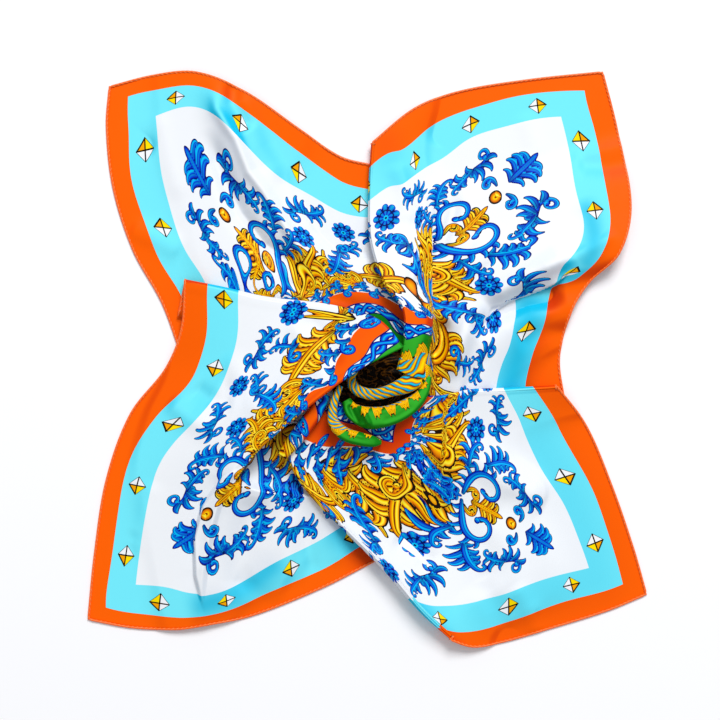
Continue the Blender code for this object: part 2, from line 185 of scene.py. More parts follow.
upperRight = {
    "name": "upper_right", "cells": 260, "corner": (265, 265), "ends": ((68, 265), (265, -8)),
    "hemA": [(179, 217, 0), (123, 211, 0), (70, 202, 1), (37, 189, 4), (4, 162, 7.6)],
    "hemB": [(179, 217, 0), (190, 173, 1), (199, 116, 10), (190, 80, 14), (168, 58, 6), (155, 37, 7),
             (146, 1, 1), (150, -32, 0)],
    "foldA": [(4, 162, 7.6, 2.4, 18, 68, 265), (2, 127, 8, 2.4, 22, 58, 230), (3, 89, 11, 2.4, 20, 50, 192),
              (14, 55, 20, 2.4, 8, 42, 152), (27, 37, 26, 2.4, 5, 38, 130), (28, 16, 27, 2.2, 4, 33, 108),
              (23, -8, 24, 2.0, 3, 30, 80)],
    "foldB": [(150, -32, 0, 0, 0, 265, -8), (100, -46, 1, 0, 0, 228, -12), (67, -41, 3, 0, 0, 168, -14),
              (51, -33, 6, 0, 0, 138, -10), (44, -16, 21, 0, 0, 56, 79), (34, -13, 24, 0, 0, 42, 82),
              (23, -8, 24, 0, 0, 30, 80)],
    "creases": [(-6.0, 9, [(152, 50), (122, 45), (97, 34), (80, 15)]),
                (5.0, 8, [(157, 83), (122, 63), (89, 44)]),
                (-13.0, 6, [(59, 34), (54, 12), (47, 0), (43, -23)]),
                (4.0, 8, [(87, 45), (75, 18), (60, -18)])],
    "fine": [(2.2, 4, [(30, 50), (40, 76), (48, 108), (52, 140)]),
             (-2.2, 5, [(40, 48), (52, 74), (64, 104), (70, 130)]),
             (1.4, 5, [(48, 44), (66, 70), (88, 100)]), (-1.6, 5, [(60, 40), (80, 60), (112, 84)]),
             (1.2, 6, [(84, 52), (74, 26), (62, -12)]), (1.2, 7, [(20, 150), (30, 128), (34, 100)]),
             (0.8, 9, [(120, 190), (128, 160), (120, 130)]), (-1.2, 4, [(92, 6), (80, -14), (70, -34)]),
             (1.5, 5, [(190, 96), (172, 84), (150, 74), (128, 64)]),
             (-1.6, 8, [(206, 150), (184, 146), (158, 148)]), (-2.4, 8, [(158, 20), (136, 20), (112, 12)]),
             (-1.4, 8, [(60, 212), (58, 186), (52, 160)])],
    "steps": [(-5.0, 1.1, (24, -14), [(156, 68), (144.8, 57), (132.8, 51.8), (108.8, 44.3), (88, 26)])],
    # painted shade along these stretches of the petal
    "deep": [(0.9, 16, [(130, 60), (126, 44), (119, 14), (112, -10), (104, -40)]),
             (0.7, 8, [(160, 124), (169, 108), (172, 94), (170, 78), (160, 62)]),
             (0.25, 14, [(8, 180), (20, 150), (30, 128), (40, 100)])],
    "laps": [(36, [(50, 100), (50, 78), (50, 56), (50, 30), (48.5, 6), (46.5, -16), (45, -34)])],
    "marks": [(0, 250, (178, 148), (183, 112.5), (173, 72), (142, 49), (131, 17), (121, -21)),
              (0, 228, (160.5, 117), (163.5, 91), (142, 58.5), (115, 35), (99.5, -21)),
              (0, 250, (164, 204)),
              (0, 228, (148, 182.5), (155, 148), (153, 76), (148.5, 67)),
              (1, 250, (6, 147), (25.5, 159), (42, 169.5), (60, 181), (79, 189), (110, 198), (137, 202),
                (164, 204)),
              (1, 228, (6, 121), (24, 131.5), (42, 141), (60, 154), (78, 166), (93, 172), (110.5, 176.5),
                (148, 182.5))],
    "innerMarks": [(0, 156, (66, 30)), (0, 154, (66, 0), (64, -24)), (1, 130, (29, 38), (50, 46)),
                   (1, 115, (29, 25.5), (50, 33.5)), (1, 105, (28.5, 15), (47, 21)), (1, 92, (28, 2.5),
                     (42, 7)), (1, 146, (50, 72))],
}
lowerLeft = {
    "name": "lower_left", "cells": 220, "corner": (-265, -265), "ends": ((-176, -265), (-265, 8)),
    "hemA": [(-210, -197, 0), (-177, -203, 0), (-143, -204, 3), (-122, -201, 4)],
    "hemB": [(-210, -197, 0), (-205, -147, 0), (-196, -91, 0), (-178, -42, 0), (-151, -7, 2), (-139, 22, 5),
             (-136, 60, 7.6)],
    "foldA": [(-122, -201, 4, 0, 0, -176, -265), (-117, -154, 8, 0, 0, -174, -217),
              (-105, -106, 14, 0, 0, -166, -168), (-87, -76, 21, 1.2, 3, -152, -132),
              (-55, -46, 29, 1.2, 6, -133, -88), (-8, -10, 33, 1.2, 4, -106, -40),
              (28, 9, 34, 1.0, 0.5, -97, -8)],
    "foldB": [(-136, 60, 7.6, 2.4, 26, -265, 8), (-106, 54, 11, 2.4, 22, -239, 9),
              (-76, 47, 14, 2.4, 18, -210, 9), (-23, 40, 21, 2.4, 12, -158, 8),
              (10, 29, 29, 2.4, 7, -124, 2), (28, 9, 34, 2.2, 4, -97, -8)],
    "creases": [],
    "fine": [(4.6, 13, [(-104, -212), (-110, -190), (-115, -158), (-109, -121), (-98, -91), (-84, -70)]),
             (-1.8, 9, [(-90, -204), (-94, -176), (-97, -150), (-91, -124)]),
             (-1.4, 7, [(-132, -20), (-118, -30), (-98, -34)]),
             (1.4, 8, [(-150, -30), (-134, -44), (-112, -56)]),
             (1.0, 9, [(-108, 6), (-96, -10), (-84, -34), (-66, -52)]),
             (-1.0, 7, [(-112, -20), (-92, -26), (-74, -20)]), (0.9, 6, [(-60, 30), (-40, 6), (-30, -20)]),
             (-0.9, 6, [(-44, 34), (-28, 14), (-20, -8)]),
             (0.7, 8, [(-180, -150), (-168, -120), (-160, -90)]),
             (-0.6, 5, [(-190, -168), (-180, -150), (-176, -128)])],
    "steps": [(5.0, 1.8, (11, 2), [(-88, -78), (-108, -90), (-123, -110), (-130, -136), (-129, -164),
                        (-121, -196)])],
    # painted shade along the lower band by the ridge, and beside the fold of the lower right petal that
    # lies over this one
    "deep": [(0.8, 12, [(-140, -190), (-124, -186), (-102, -179), (-84, -168), (-72, -156), (-60, -142)]),
             (0.9, 14, [(66, -222), (40, -190), (14, -160), (-16, -130), (-46, -98), (-66, -66)])],
    "laps": [],
    "marks": [(0, -250, (-118, 58), (-121, 14), (-134, -19), (-151.5, -39), (-167, -56), (-177, -73),
                (-184, -95), (-189.5, -129), (-194.5, -166), (-197.5, -189)),
              (0, -228, (-94.5, 51), (-97, 10), (-105.5, -14.5), (-115.5, -33), (-134, -53), (-153, -76),
                (-161, -96), (-167, -126), (-171, -148), (-173, -169)),
              (1, -250, (-197.5, -189), (-164, -194.5), (-134, -198), (-115.5, -195), (-92.5, -184),
                (-57, -169), (-28, -156.5), (-3.5, -141.5)),
              (1, -228, (-173, -169), (-145.5, -173), (-123, -176.5), (-104, -174), (-85.5, -163.5),
                (-57, -146.5), (-36.5, -136.5), (-21, -127))],
    "innerMarks": [(0, -130, (6, 30), (-7.5, 21), (-22.5, -5.5), (-29.5, -21.5), (-44.5, -41)),
                   (0, -115, (20, 24), (8, 16), (-7, -3), (-32, -28.5)), (0, -105, (25.5, 13), (8, -1),
                     (-7, -10))],
    "flank": {
        "rows": 90, "ends": ((-176, -265), (-10, -265)),
        "hemA": [(-122, -201, 4), (-87, -194, 1), (-34, -173, 0), (8, -152, 0), (34, -141, 0)],
        "ridgeEnd": [(-105, -106, 14, -166, -168), (-95, -89, 8, -152, -164), (-78, -65, 5, -130, -152),
                     (-57, -46, 4, -112, -144)],
        "foldA": [(34, -141, 0, -10, -265), (4, -108, 1, -30, -215), (-25, -74, 2, -70, -178),
                  (-40, -52, 4, -98, -140)],
        "foldB": [(-57, -46, 4, -112, -144), (-40, -52, 4, -98, -140)],
        "creases": [(-3.2, 12, [(-97, -184), (-92, -140), (-82, -100)])],
        "fine": [(1.2, 7, [(-70, -190), (-60, -150), (-56, -110)]),
                 (-1.2, 6, [(-40, -168), (-44, -130), (-50, -96)]),
                 (0.8, 6, [(-20, -160), (-24, -130), (-30, -100)])],
    },
}
lowerRight = {
    "name": "lower_right", "cells": 260, "corner": (265, -265), "ends": ((111, -265), (265, -85)),
    "hemA": [(212, -178, 0), (183, -190, 0), (138, -204, 0), (103, -214, 1), (81, -217, 5), (63, -211, 10)],
    "hemB": [(212, -178, 0), (202, -143, 0), (185, -94, 0), (166, -50, 1), (143, -20, 7.6)],
    "foldA": [(63, -211, 10, 3.6, 24, 111, -265), (40, -190, 14, 4.4, 24, 88, -243),
              (14, -160, 14, 4.4, 24, 62, -214), (-16, -130, 12, 3.4, 18, 38, -182),
              (-46, -98, 12, 2.6, 10, 26, -152), (-58, -74, 13, 2.4, 6, 22, -138),
              (-48, -53, 14, 2.4, 4, 20, -127), (-21, -32, 13, 2.2, 3, 20, -110)],
    "foldB": [(143, -20, 7.6, 2.4, 7, 265, -85), (103, -22, 8, 2.4, 14, 228, -78),
              (78, -23, 11, 2.4, 12, 180, -68), (60, -27, 13, 2.2, 3, 140, -60),
              (44, -29, 14, 1.2, 0.5, 112, -56), (27, -38, 13, 1.2, 0.5, 108, -85),
              (4, -44, 12, 1.2, 0.5, 85, -108), (-12, -39, 12, 1.2, 0.5, 45, -110),
              (-21, -32, 13, 1.0, 0.5, 20, -110)],
    "creases": [(-3.0, 22, [(50, -100), (72, -140), (96, -180)]),
                (4.0, 12, [(60, -60), (104, -90), (140, -110)])],
    "fine": [(-2.2, 8, [(20, -134), (31, -139), (44, -147), (50, -158)]),
             (1.4, 5, [(10, -70), (0, -96), (-14, -122)]), (-1.3, 5, [(22, -70), (18, -96), (8, -124)]),
             (1.3, 5, [(34, -76), (36, -104), (40, -126)]),
             (-0.9, 8, [(80, -150), (96, -120), (120, -96)]),
             (1.0, 7, [(-30, -66), (-28, -88), (-30, -110)]), (1.2, 6, [(66, -32), (62, -60), (64, -96)]),
             (0.8, 9, [(120, -186), (110, -150), (92, -120)]),
             (-1.3, 8, [(86, -166), (100, -190), (108, -220)]),
             (-1.4, 9, [(206, -110), (180, -112), (150, -104)]),
             (1.6, 8, [(130, -212), (124, -190), (110, -170)])],
    "steps": [(2.4, 2.2, (12, 2), [(62, -28), (59, -44), (59, -64), (57, -86), (56, -100)])],
    # a slight painted shade along this petal's border
    "deep": [(0.3, 26, [(106, -16), (128, -60), (150, -100), (166, -140), (172, -166), (140, -174),
                       (96, -188), (50, -206)])],
    "laps": [],
    "marks": [(0, 250, (126, -21.5), (142, -46), (157, -72), (171, -98), (183, -133), (194.5, -170.5)),
              (0, 228, (103.5, -22), (118, -54), (133.5, -86), (150, -113.5), (161, -137), (168.5, -158)),
              (1, -250, (194.5, -170.5), (155.5, -181.5), (114, -197), (86, -205), (65.5, -206),
                (54, -203)),
              (1, -228, (168.5, -158), (128, -169), (93, -180), (69.5, -186), (51.5, -184.5),
                (33.5, -181))],
    "innerMarks": [(0, 130, (33, -68)), (0, 115, (20, -56)), (0, 130, (34, -53)), (0, 132, (43, -36)),
                   (0, 144, (48, -46)), (0, 146, (48, -57), (48, -69)), (0, 137, (38, -80)),
                   (0, 146, (48, -80)), (1, -130, (33, -68)), (1, -115, (16, -62)), (1, -130, (-12, -65),
                     (-42, -61)), (1, -143, (38, -80)), (1, -130, (4, -68)), (1, -142, (-6, -80)),
                   (1, -143, (14, -80)), (1, -152, (26, -91)), (1, -151, (3, -91)), (1, -152, (38, -91)),
                   (1, -160, (26, -102)), (1, -159, (3, -102)), (1, -160, (42, -102)),
                   (1, -168, (26, -114), (42, -114))],
}


# the printed scrolls and leaves: degrees, and mm on the flat square
# outside: depth where nothing is printed. join: how deep a later stroke must be to cover an earlier one
# bulbStart: where a round end begins, past the vein that a stroke has at its root
printLayout = {"lobeSpread": 38, "lobeHook": 115, "lobeWidth": 0.23, "outside": -4.0, "join": 0.15,
               "bulbStart": 9}


def turningPath(start, heading, length, bendStart, bendEnd, count=26):
    # a line whose turn grows evenly from bendStart to bendEnd degrees
    s = np.linspace(0, 1, count)
    angle = math.radians(heading) + np.radians(bendStart * s + (bendEnd - bendStart) * s * s / 2)
    moves = np.stack([np.cos(angle), np.sin(angle)], 1) * length / (count - 1)
    return np.vstack([[0, 0], np.cumsum(moves[:-1], 0)]) + start, np.degrees(angle)


class Painter:
    # works out, for each place of the cloth, how deep inside a leaf or scroll it is
    def __init__(self, flat):
        self.place = np.stack([np.abs(flat).max(1), np.abs(flat).min(1)], 1)
        self.depth = np.full(len(flat), printLayout["outside"])
        self.across = np.zeros(len(flat))
        self.along = np.zeros(len(flat))

    def stroke(self, path, widths, begin=0.0):
        path, widths = np.asarray(path, float), np.asarray(widths, float)
        reach = widths.max() + 3
        inside = (self.place > path.min(0) - reach) & (self.place < path.max(0) + reach)
        near = np.nonzero(inside.all(1))[0]
        if not len(near):
            return
        p = self.place[near]
        run = np.diff(path, axis=0)
        size = np.maximum((run**2).sum(1), 1e-9)
        travelled = begin + np.concatenate([[0], np.cumsum(np.sqrt(size))])
        best = np.full(len(p), -9.0)
        across, along = np.zeros(len(p)), np.zeros(len(p))
        for k in range(len(run)):
            d = p - path[k]
            t = np.clip((d @ run[k]) / size[k], 0, 1)
            off = d - t[:, None] * run[k]
            distance = np.hypot(off[:, 0], off[:, 1])
            value = widths[k] + (widths[k + 1] - widths[k]) * t - distance
            take = value > best
            best[take] = value[take]
            side = np.sign(run[k, 0] * off[:, 1] - run[k, 1] * off[:, 0])
            across[take] = (side * distance)[take]
            along[take] = (travelled[k] + t * math.sqrt(size[k]))[take]
        more = (best > printLayout["join"]) | (best > self.depth[near])
        for field, values in ((self.depth, best), (self.across, across), (self.along, along)):
            field[near[more]] = values[more]

    def fields(self):
        return np.stack([self.depth, self.across, self.along], 1)

    def lobe(self, start, heading, length, bend, width):
        # a finger of a leaf, full in the middle and round at its hooked tip
        path, _ = turningPath(start, heading, length, bend * 0.1, bend * 1.9, 12)
        s = np.linspace(0, 1, 12)
        self.stroke(path, width * (0.6 + 0.45 * np.sin(np.pi * s)) * (1 - 0.4 * s**3))

    def leaf(self, start, heading, length, bend, width, pairs=4):
        # an acanthus leaf: a spine that rolls over at its tip, with full lobes that hook back
        path, angles = turningPath(start, heading, length, 0, bend)
        roll = 1 if bend >= 0 else -1
        for k in range(pairs):
            share = 0.03 + 0.76 * k / max(pairs - 1, 1)
            at = int(share * (len(path) - 1))
            size = width * (0.62 + 0.42 * math.sin(math.pi * share**0.8)) * (1 - 0.25 * share)
            for side in (1, -1):
                reach = size * (0.72 if side == roll else 1.12)
                self.lobe(path[at], angles[at] + side * printLayout["lobeSpread"], reach,
                          side * printLayout["lobeHook"], size * printLayout["lobeWidth"])
        tip, _ = turningPath(path[-1], angles[-1], width * 0.75, roll * 60, roll * 400, 16)
        path = np.vstack([path, tip[1:]])
        s = np.linspace(0, 1, len(path))
        self.stroke(path, width * (0.09 + 0.07 * np.sin(np.pi * s**0.7)))
        return path, angles

    def frond(self, start, heading, length, bend, width, count=3, spread=34):
        # long strands from one root that part slowly and hook outward at their tips
        for k in sorted(range(-count, count + 1), key=abs, reverse=True):
            share = abs(k) / count
            side = (k > 0) - (k < 0)
            reach = length * (1 - 0.4 * share**1.3)
            turn = bend * reach / length
            path, angles = turningPath(start, heading + k * spread / count, reach, turn - side * 26,
                                       turn + side * 190, 22)
            s = np.linspace(0, 1, 22)
            self.stroke(path, width * (0.6 + 0.5 * np.sin(np.pi * s**0.9)) * (1 - 0.25 * s))
            if side:
                self.lobe(path[9], angles[9] + side * 34, reach * 0.3, side * 120, width * 0.95)

    def scroll(self, start, heading, length, bendStart, bendEnd, width, tip=0.5, bulb=1.7):
        path, angles = turningPath(start, heading, length, bendStart, bendEnd, 44)
        s = np.linspace(0, 1, len(path))
        self.stroke(path, width * (0.5 + 0.5 * np.minimum(s * 5, 1)) * (1 - s * (1 - tip)))
        if bulb:
            self.stroke([path[-1], path[-1] + 0.01], [width * tip * bulb] * 2, printLayout["bulbStart"])
        return path, angles

    def spray(self, place, heading, size, hand):
        # a scroll whose two ends roll up, with full lobes on its outer side and a leaf behind
        path, angles = self.scroll(place, heading, 36 * size, hand * -50, hand * 860, 2.4 * size, 0.55, 1.6)
        self.scroll(place, heading + 180, 24 * size, hand * -20, hand * 900, 2.2 * size, 0.55, 1.6)
        for at, turn, length in ((1, 46, 12), (6, 40, 13.5), (12, 34, 12), (18, 30, 9)):
            self.lobe(path[at], angles[at] - hand * turn, length * size, hand * -95, 2.5 * size)
        self.leaf(path[2], heading - hand * 158, 17 * size, hand * 50, 12 * size, 3)


def paintBlue(flat):
    p = Painter(flat)
    # running scrolls whose ends roll up on the orange band, with leaves between them
    for b in (-7, 17, 41, 65, 89, 113):
        p.scroll((131.5, b), 66, 29, 30, 900, 2.2, 0.6, 1.5)
        p.leaf((132, b + 14), 22, 12, -50, 10, 3)
        p.lobe((131, b + 2), 36, 10, -90, 2.3)
    p.leaf((131, 131), 45, 14, 0, 10, 3)
    # sprays along the border
    for b, size, hand in ((31, 1.0, -1), (98, 1.0, 1), (158, 0.95, -1)):
        p.spray((208 + hand * 3, b), 90, size, hand)
    # the corner: two scrolls that mirror each other about the diagonal, with full leaves outside
    p.leaf((166, 125), -44, 20, 80, 13, 3)
    p.leaf((183, 131), 4, 24, 70, 14, 4)
    curl = ((146, 141), -34, 74, 30, 620)
    path, angles = turningPath(*curl, 44)
    for at in (2, 6, 10, 14, 18, 22):
        p.lobe(path[at], angles[at] - 42, 11.5 - abs(at - 12) * 0.22, -100, 2.2)
    p.scroll(*curl, 3.5, 0.6, 1.4)
    p.leaf((189, 189), 45, 21, 0, 15, 4)
    p.scroll((187, 179), -25, 25, -30, -760, 2.4, 0.6, 1.5)
    # leaves between the golden ones
    p.scroll((168, 27), 60, 34, 40, 780, 2.6, 0.55, 1.5)
    p.leaf((170, 30), -6, 20, 60, 12, 3)
    p.leaf((184, 72), 168, 27, -50, 15, 4)
    p.leaf((185, 70), -60, 17, 50, 12, 3)
    p.scroll((184, 72), 10, 26, -60, -860, 2.4, 0.6, 1.5)
    return p.fields()


def paintGold(flat):
    p = Painter(flat)
    # long leaves and scrolls between the inner band and the corner
    p.frond((140, 0), 2, 36, 6, 2.9, 1, 22)
    p.scroll((143, 7), 40, 64, -50, 720, 3.8, 0.5, 1.5)
    p.leaf((146, 14), 66, 42, 60, 25, 5)
    p.frond((138, 62), 56, 60, 36, 3.7, 2, 36)
    p.scroll((143, 58), -6, 50, 50, 800, 3.6, 0.5, 1.5)
    p.leaf((142, 88), 22, 34, 60, 20, 4)
    p.leaf((146, 128), -58, 40, 60, 22, 5)
    p.scroll((145, 122), -20, 44, 40, -780, 3.4, 0.5, 1.5)
    p.leaf((150, 150), 45, 26, 0, 15, 4)
    p.scroll((150, 141), -10, 26, 50, 860, 2.6, 0.6, 1.5)
    p.stroke([(178, 178), (178.01, 178)], [5.4, 5.4], printLayout["bulbStart"])
    return p.fields()


# materials
class Wire:
    # a socket that can be used in sums
    def __init__(self, finish, socket):
        self.finish, self.socket = finish, socket

    def other(self, name):
        return Wire(self.finish, self.socket.node.outputs[name])

    def maths(self, operation, *values):
        return self.finish.add("ShaderNodeMath", {"operation": operation}, dict(enumerate([self, *values])))

    def reflected(self, operation, value):
        return self.finish.add("ShaderNodeMath", {"operation": operation}, {0: value, 1: self})

    def __add__(self, value): return self.maths("ADD", value)
    def __radd__(self, value): return self.maths("ADD", value)
    def __sub__(self, value): return self.maths("SUBTRACT", value)
    def __rsub__(self, value): return self.reflected("SUBTRACT", value)
    def __mul__(self, value): return self.maths("MULTIPLY", value)
    def __rmul__(self, value): return self.maths("MULTIPLY", value)
    def __truediv__(self, value): return self.maths("DIVIDE", value)
    def __pow__(self, value): return self.maths("POWER", value)
    def __gt__(self, value): return self.maths("GREATER_THAN", value)
    def __lt__(self, value): return self.maths("LESS_THAN", value)
    def __abs__(self): return self.maths("ABSOLUTE")
    def fraction(self): return self.maths("FRACT")
    def sine(self): return self.maths("SINE")
    def cosine(self): return self.maths("COSINE")
    def greater(self, value): return self.maths("MAXIMUM", value)
    def smaller(self, value): return self.maths("MINIMUM", value)


class Finish:
    # a material under construction
    def __init__(self, name):
        self.material = bpy.data.materials.new(name)
        self.material.use_nodes = True
        self.tree = self.material.node_tree
        self.shader = self.tree.nodes["Principled BSDF"]
        self.count = 0

    def add(self, kind, settings, inputs, out=0):
        node = self.tree.nodes.new(kind)
        node.location = (-220 * (1 + self.count % 12), -170 * (self.count // 12))
        self.count += 1
        for key, value in settings.items():
            if key == "stops":
                ramp = node.color_ramp
                for place, colour in value[:-1]:
                    ramp.elements.new(place).color = colour
                ramp.elements.remove(ramp.elements[0])
                ramp.elements[-1].position, ramp.elements[-1].color = value[-1]
            elif key == "blend":
                node.color_ramp.interpolation = value
            else:
                setattr(node, key, value)
        for key, value in inputs.items():
            self.plug(node.inputs[key], value)
        return Wire(self, node.outputs[out])

    def plug(self, socket, value):
        # a wire, a plain value or an ink's name
        if isinstance(value, Wire):
            self.tree.links.new(value.socket, socket)
        else:
            socket.default_value = inks.get(value, value) if isinstance(value, str) else value

    def finished(self, values):
        for name, value in values.items():
            self.plug(self.shader.inputs[name], value)
        return self.material

    def grainy(self, place, scale, detail):
        return self.add("ShaderNodeTexNoise", {}, {"Vector": place, "Scale": scale, "Detail": detail})

    def bump(self, strength, distance, height):
        values = {"Strength": strength, "Distance": distance, "Height": height}
        return self.add("ShaderNodeBump", {}, values)

    def mix(self, factor, first, second):
        node = self.add("ShaderNodeMix", {"data_type": "RGBA"}, {"Factor": factor}, "Result")
        colours = [s for s in node.socket.node.inputs if s.type == "RGBA"]
        self.plug(colours[0], first)
        self.plug(colours[1], second)
        return Wire(self, [s for s in node.socket.node.outputs if s.type == "RGBA"][0])

    def ramp(self, value, stops, blend="LINEAR"):
        # stops: a place and an ink each
        stops = [(at, inks[ink]) for at, ink in stops]
        return self.add("ShaderNodeValToRGB", {"blend": blend, "stops": stops}, {0: value})


def rgb(red, green, blue):
    # a screen colour, 0 to 255, as Blender's linear one
    return tuple((c / 255 / 12.92 if c <= 10 else ((c / 255 + 0.055) / 1.055)**2.4)
                 for c in (red, green, blue)) + (1.0,)


# in printPlan's inShade each band ink is paired with a darker copy of itself, used for painted shade
inks = {name: rgb(*levels) for name, levels in {
    "white": (242, 245, 249), "pearl": (226, 232, 240), "orange": (255, 98, 0), "rust": (212, 56, 4),
    "turquoise": (116, 234, 250), "lagoon": (16, 186, 224), "green": (50, 172, 42), "moss": (16, 128, 20),
    "umber": (18, 9, 6), "bark": (30, 16, 6), "bronze": (120, 72, 12), "ink": (20, 96, 168),
    "navy": (0, 14, 96), "cobalt": (0, 38, 194), "azure": (0, 90, 220), "teal": (0, 140, 208),
    "sky": (0, 192, 240), "cyan": (40, 180, 212), "amber": (218, 106, 0), "gold": (248, 166, 0),
    "lemon": (255, 224, 0), "cream": (255, 240, 70), "hemLow": (250, 92, 0), "hemHigh": (255, 112, 4),
    "threadLow": (255, 140, 56), "threadHigh": (255, 174, 104), "paper": (252, 252, 254)}.items()}
printPlan = {
    "bands": [(0, "umber"), (74.5, "bark"), (75.5, "amber"), (91.0, "bark"), (91.6, "green"),
              (104.4, "navy"), (105.3, "white"), (114.7, "navy"), (115.6, "orange"), (129.5, "navy"),
              (130.3, "white"), (228, "turquoise"), (249.5, "ink"), (250.2, "orange")],
    # darker copies of these band inks, for painted shade
    "inShade": {"turquoise": "lagoon", "orange": "rust", "white": "pearl", "green": "moss"},
    "rope": (75.6, 91), "ropePitch": 5.4, "ropeSlant": 1.1,
    "fringeReach": 7.5, "fringePitch": 11.5, "fringeTeeth": 1.8,
    "braid": (105, 115), "braidAt": 110, "braidPitch": 21.0, "braidSwing": 2.9, "strandHalf": 2.6,
    "goldFrom": 131, "blueFrom": 116, "leavesTo": 227.5, "veinLength": 7,
    "tilePitch": 53.0, "tileAt": 239.0, "tileSize": 6.9, "tilesBetween": (228, 230),
    "flowers": [(186, 2), (209, 66), (186, 104)], "flowerSize": 10.2, "flowerPetals": 9,
    "outline": 0.5,
}
# the cloth itself under the print: weave in mm, bumpDepth in m
silkLook = {"weave": 0.55, "threadInk": 0.012, "bump": 0.12, "bumpDepth": 0.0001, "roughness": 0.4,
            "cloudScale": 30.0, "cloudRoughness": 0.12, "threadRoughness": 0.02,
            "gloss": 0.06, "sheen": 0.005, "sheenRoughness": 0.4}
goldStops = [(0, "bark"), (0.1, "bark"), (0.17, "amber"), (0.3, "gold"), (0.37, "lemon"), (0.43, "amber"),
             (0.46, "bark"), (0.5, "bark"), (0.54, "amber"), (0.6, "lemon"), (0.7, "cream"), (0.8, "gold"),
             (0.88, "amber"), (0.93, "bark")]
blueStops = [(0, "navy"), (0.1, "navy"), (0.18, "cobalt"), (0.3, "azure"), (0.4, "teal"), (0.48, "cobalt"),
             (0.54, "azure"), (0.66, "sky"), (0.74, "sky"), (0.84, "azure"), (0.92, "cobalt"), (1, "navy")]


def silkFinish():
    f = Finish("printedSilk")
    plan = printPlan
    line = plan["outline"]
    place = f.add("ShaderNodeUVMap", {"uv_map": "cloth"}, {})
    parts = f.add("ShaderNodeSeparateXYZ", {}, {0: place})
    # u and v across the square in mm, a towards its hem and b along it
    flatU, flatV = parts * 1000, parts.other("Y") * 1000
    u, v = abs(flatU), abs(flatV)
    a, b = u.greater(v), u.smaller(v)
    upright = u > v
    around = flatV * flatU.maths("SIGN") * upright - flatU * flatV.maths("SIGN") * (1 - upright)

    def within(value, low, high):
        return (value > low) * (value < high)

    # painted shade: where the shade attribute is high each band takes the darker copy of its ink, standing
    # in for shade on sloping and shadowed cloth
    paintedShade = f.add("ShaderNodeAttribute", {"attribute_name": "shade"}, {}, "Fac")
    side = silk["halfSide"]
    unshadedBands = [(at / side, ink) for at, ink in plan["bands"]]
    deep = [(at, plan["inShade"].get(ink, ink)) for at, ink in unshadedBands]
    colour = f.mix(paintedShade, f.ramp(a / side, unshadedBands, "CONSTANT"), f.ramp(a / side, deep, "CONSTANT"))

    # rope of gold and cyan round the umber centre
    ropeStart, ropeEnd = plan["rope"]
    slant = (a - (ropeStart + ropeEnd) / 2) * plan["ropeSlant"]
    turn = ((around + slant + (a * 0.9).sine() * 0.5) / plan["ropePitch"]).fraction()
    rope = f.ramp(turn, [(0, "bark"), (0.1, "amber"), (0.3, "lemon"), (0.52, "gold"), (0.6, "bark"),
                         (0.66, "cyan"), (0.84, "sky"), (0.96, "bark")])
    colour = f.mix(within(a, ropeStart, ropeEnd), colour, rope)
    # gold leaf tips that point into the green
    pitch = plan["fringePitch"]
    tip = abs((b * (math.pi / pitch)).cosine())
    serration = abs((b * (math.pi * 4 / pitch) + a * 0.5).sine())
    reach = ropeEnd + plan["fringeReach"] * tip ** 0.9 - a - serration * plan["fringeTeeth"]
    vein = ((abs(b.maths("PINGPONG", pitch / 2) - 0.1) * 2.2 + a) / 2.6).fraction()
    leafTip = f.ramp(vein, [(0, "bark"), (0.18, "amber"), (0.4, "gold"), (0.9, "lemon")])
    leafTip = f.mix(reach < 0.6, leafTip, "bark")
    colour = f.mix((reach > 0) * (a > ropeEnd), colour, leafTip)
    # two plaited strands between the green and the orange
    wave = (b * (2 * math.pi / plan["braidPitch"])).sine() * plan["braidSwing"]
    for hand in (1, -1):
        off = abs(a - plan["braidAt"] - wave * hand)
        strand = f.ramp(off / plan["strandHalf"],
                        [(0, "sky"), (0.35, "azure"), (0.66, "cobalt"), (0.8, "navy")])
        colour = f.mix((off < plan["strandHalf"]) * within(a, *plan["braid"]), colour, strand)

    # gold, then blue leaves and scrolls: each ink has its own field on the cloth
    for name, inner, stops, edgeInk, edge in (("goldField", plan["goldFrom"], goldStops, "bark", 0.5),
                                              ("blueField", plan["blueFrom"], blueStops, "navy", 0.24)):
        field = f.add("ShaderNodeAttribute", {"attribute_name": name}, {}, "Vector")
        depth = f.add("ShaderNodeSeparateXYZ", {}, {0: field})
        across, along = depth.other("Y"), depth.other("Z")
        share = across / (depth + abs(across) + 0.01)
        tone = f.ramp(0.5 + share * 0.5, stops)
        tone = f.mix((1 - along / plan["veinLength"]).greater(0) * 0.6, tone, edgeInk)
        tone = f.mix(depth < edge + (across > 0) * edge, tone, edgeInk)
        colour = f.mix((depth > 0) * within(a, inner, plan["leavesTo"]), colour, tone)

    # round flowers
    size, turns = plan["flowerSize"], plan["flowerPetals"] / 2
    xx, yy = None, None
    for fa, fb in plan["flowers"]:
        dx, dy = a - fa, b - fb
        near = (dx * dx + dy * dy) < size**2 * 1.1
        xx = dx * near if xx is None else xx + dx * near
        yy = dy * near if yy is None else yy + dy * near
    radius = (xx * xx + yy * yy) ** 0.5
    spread = f.add("ShaderNodeMath", {"operation": "ARCTAN2"}, {0: xx, 1: yy})
    petal = abs((spread * turns).cosine())
    edge = size * (0.74 + 0.26 * petal ** 0.5) - radius
    inner = size * (0.4 + 0.16 * petal ** 0.5) - radius
    bloom = f.ramp(petal * 0.75 + radius * 0.02,
                   [(0, "navy"), (0.3, "cobalt"), (0.6, "azure"), (0.85, "teal"), (1, "sky")])
    bloom = f.mix(abs(inner) < line, bloom, "navy")
    beads = ((spread * turns).sine() ** 2) > 0.72
    bloom = f.mix(beads * within(radius, size * 0.5, size * 0.78), bloom, "navy")
    bloom = f.mix(radius < size * 0.2, bloom, "sky")
    bloom = f.mix(radius < size * 0.09, bloom, "navy")
    bloom = f.mix(edge < line, bloom, "cobalt")
    colour = f.mix((edge > 0) * (radius > 0.05), colour, bloom)

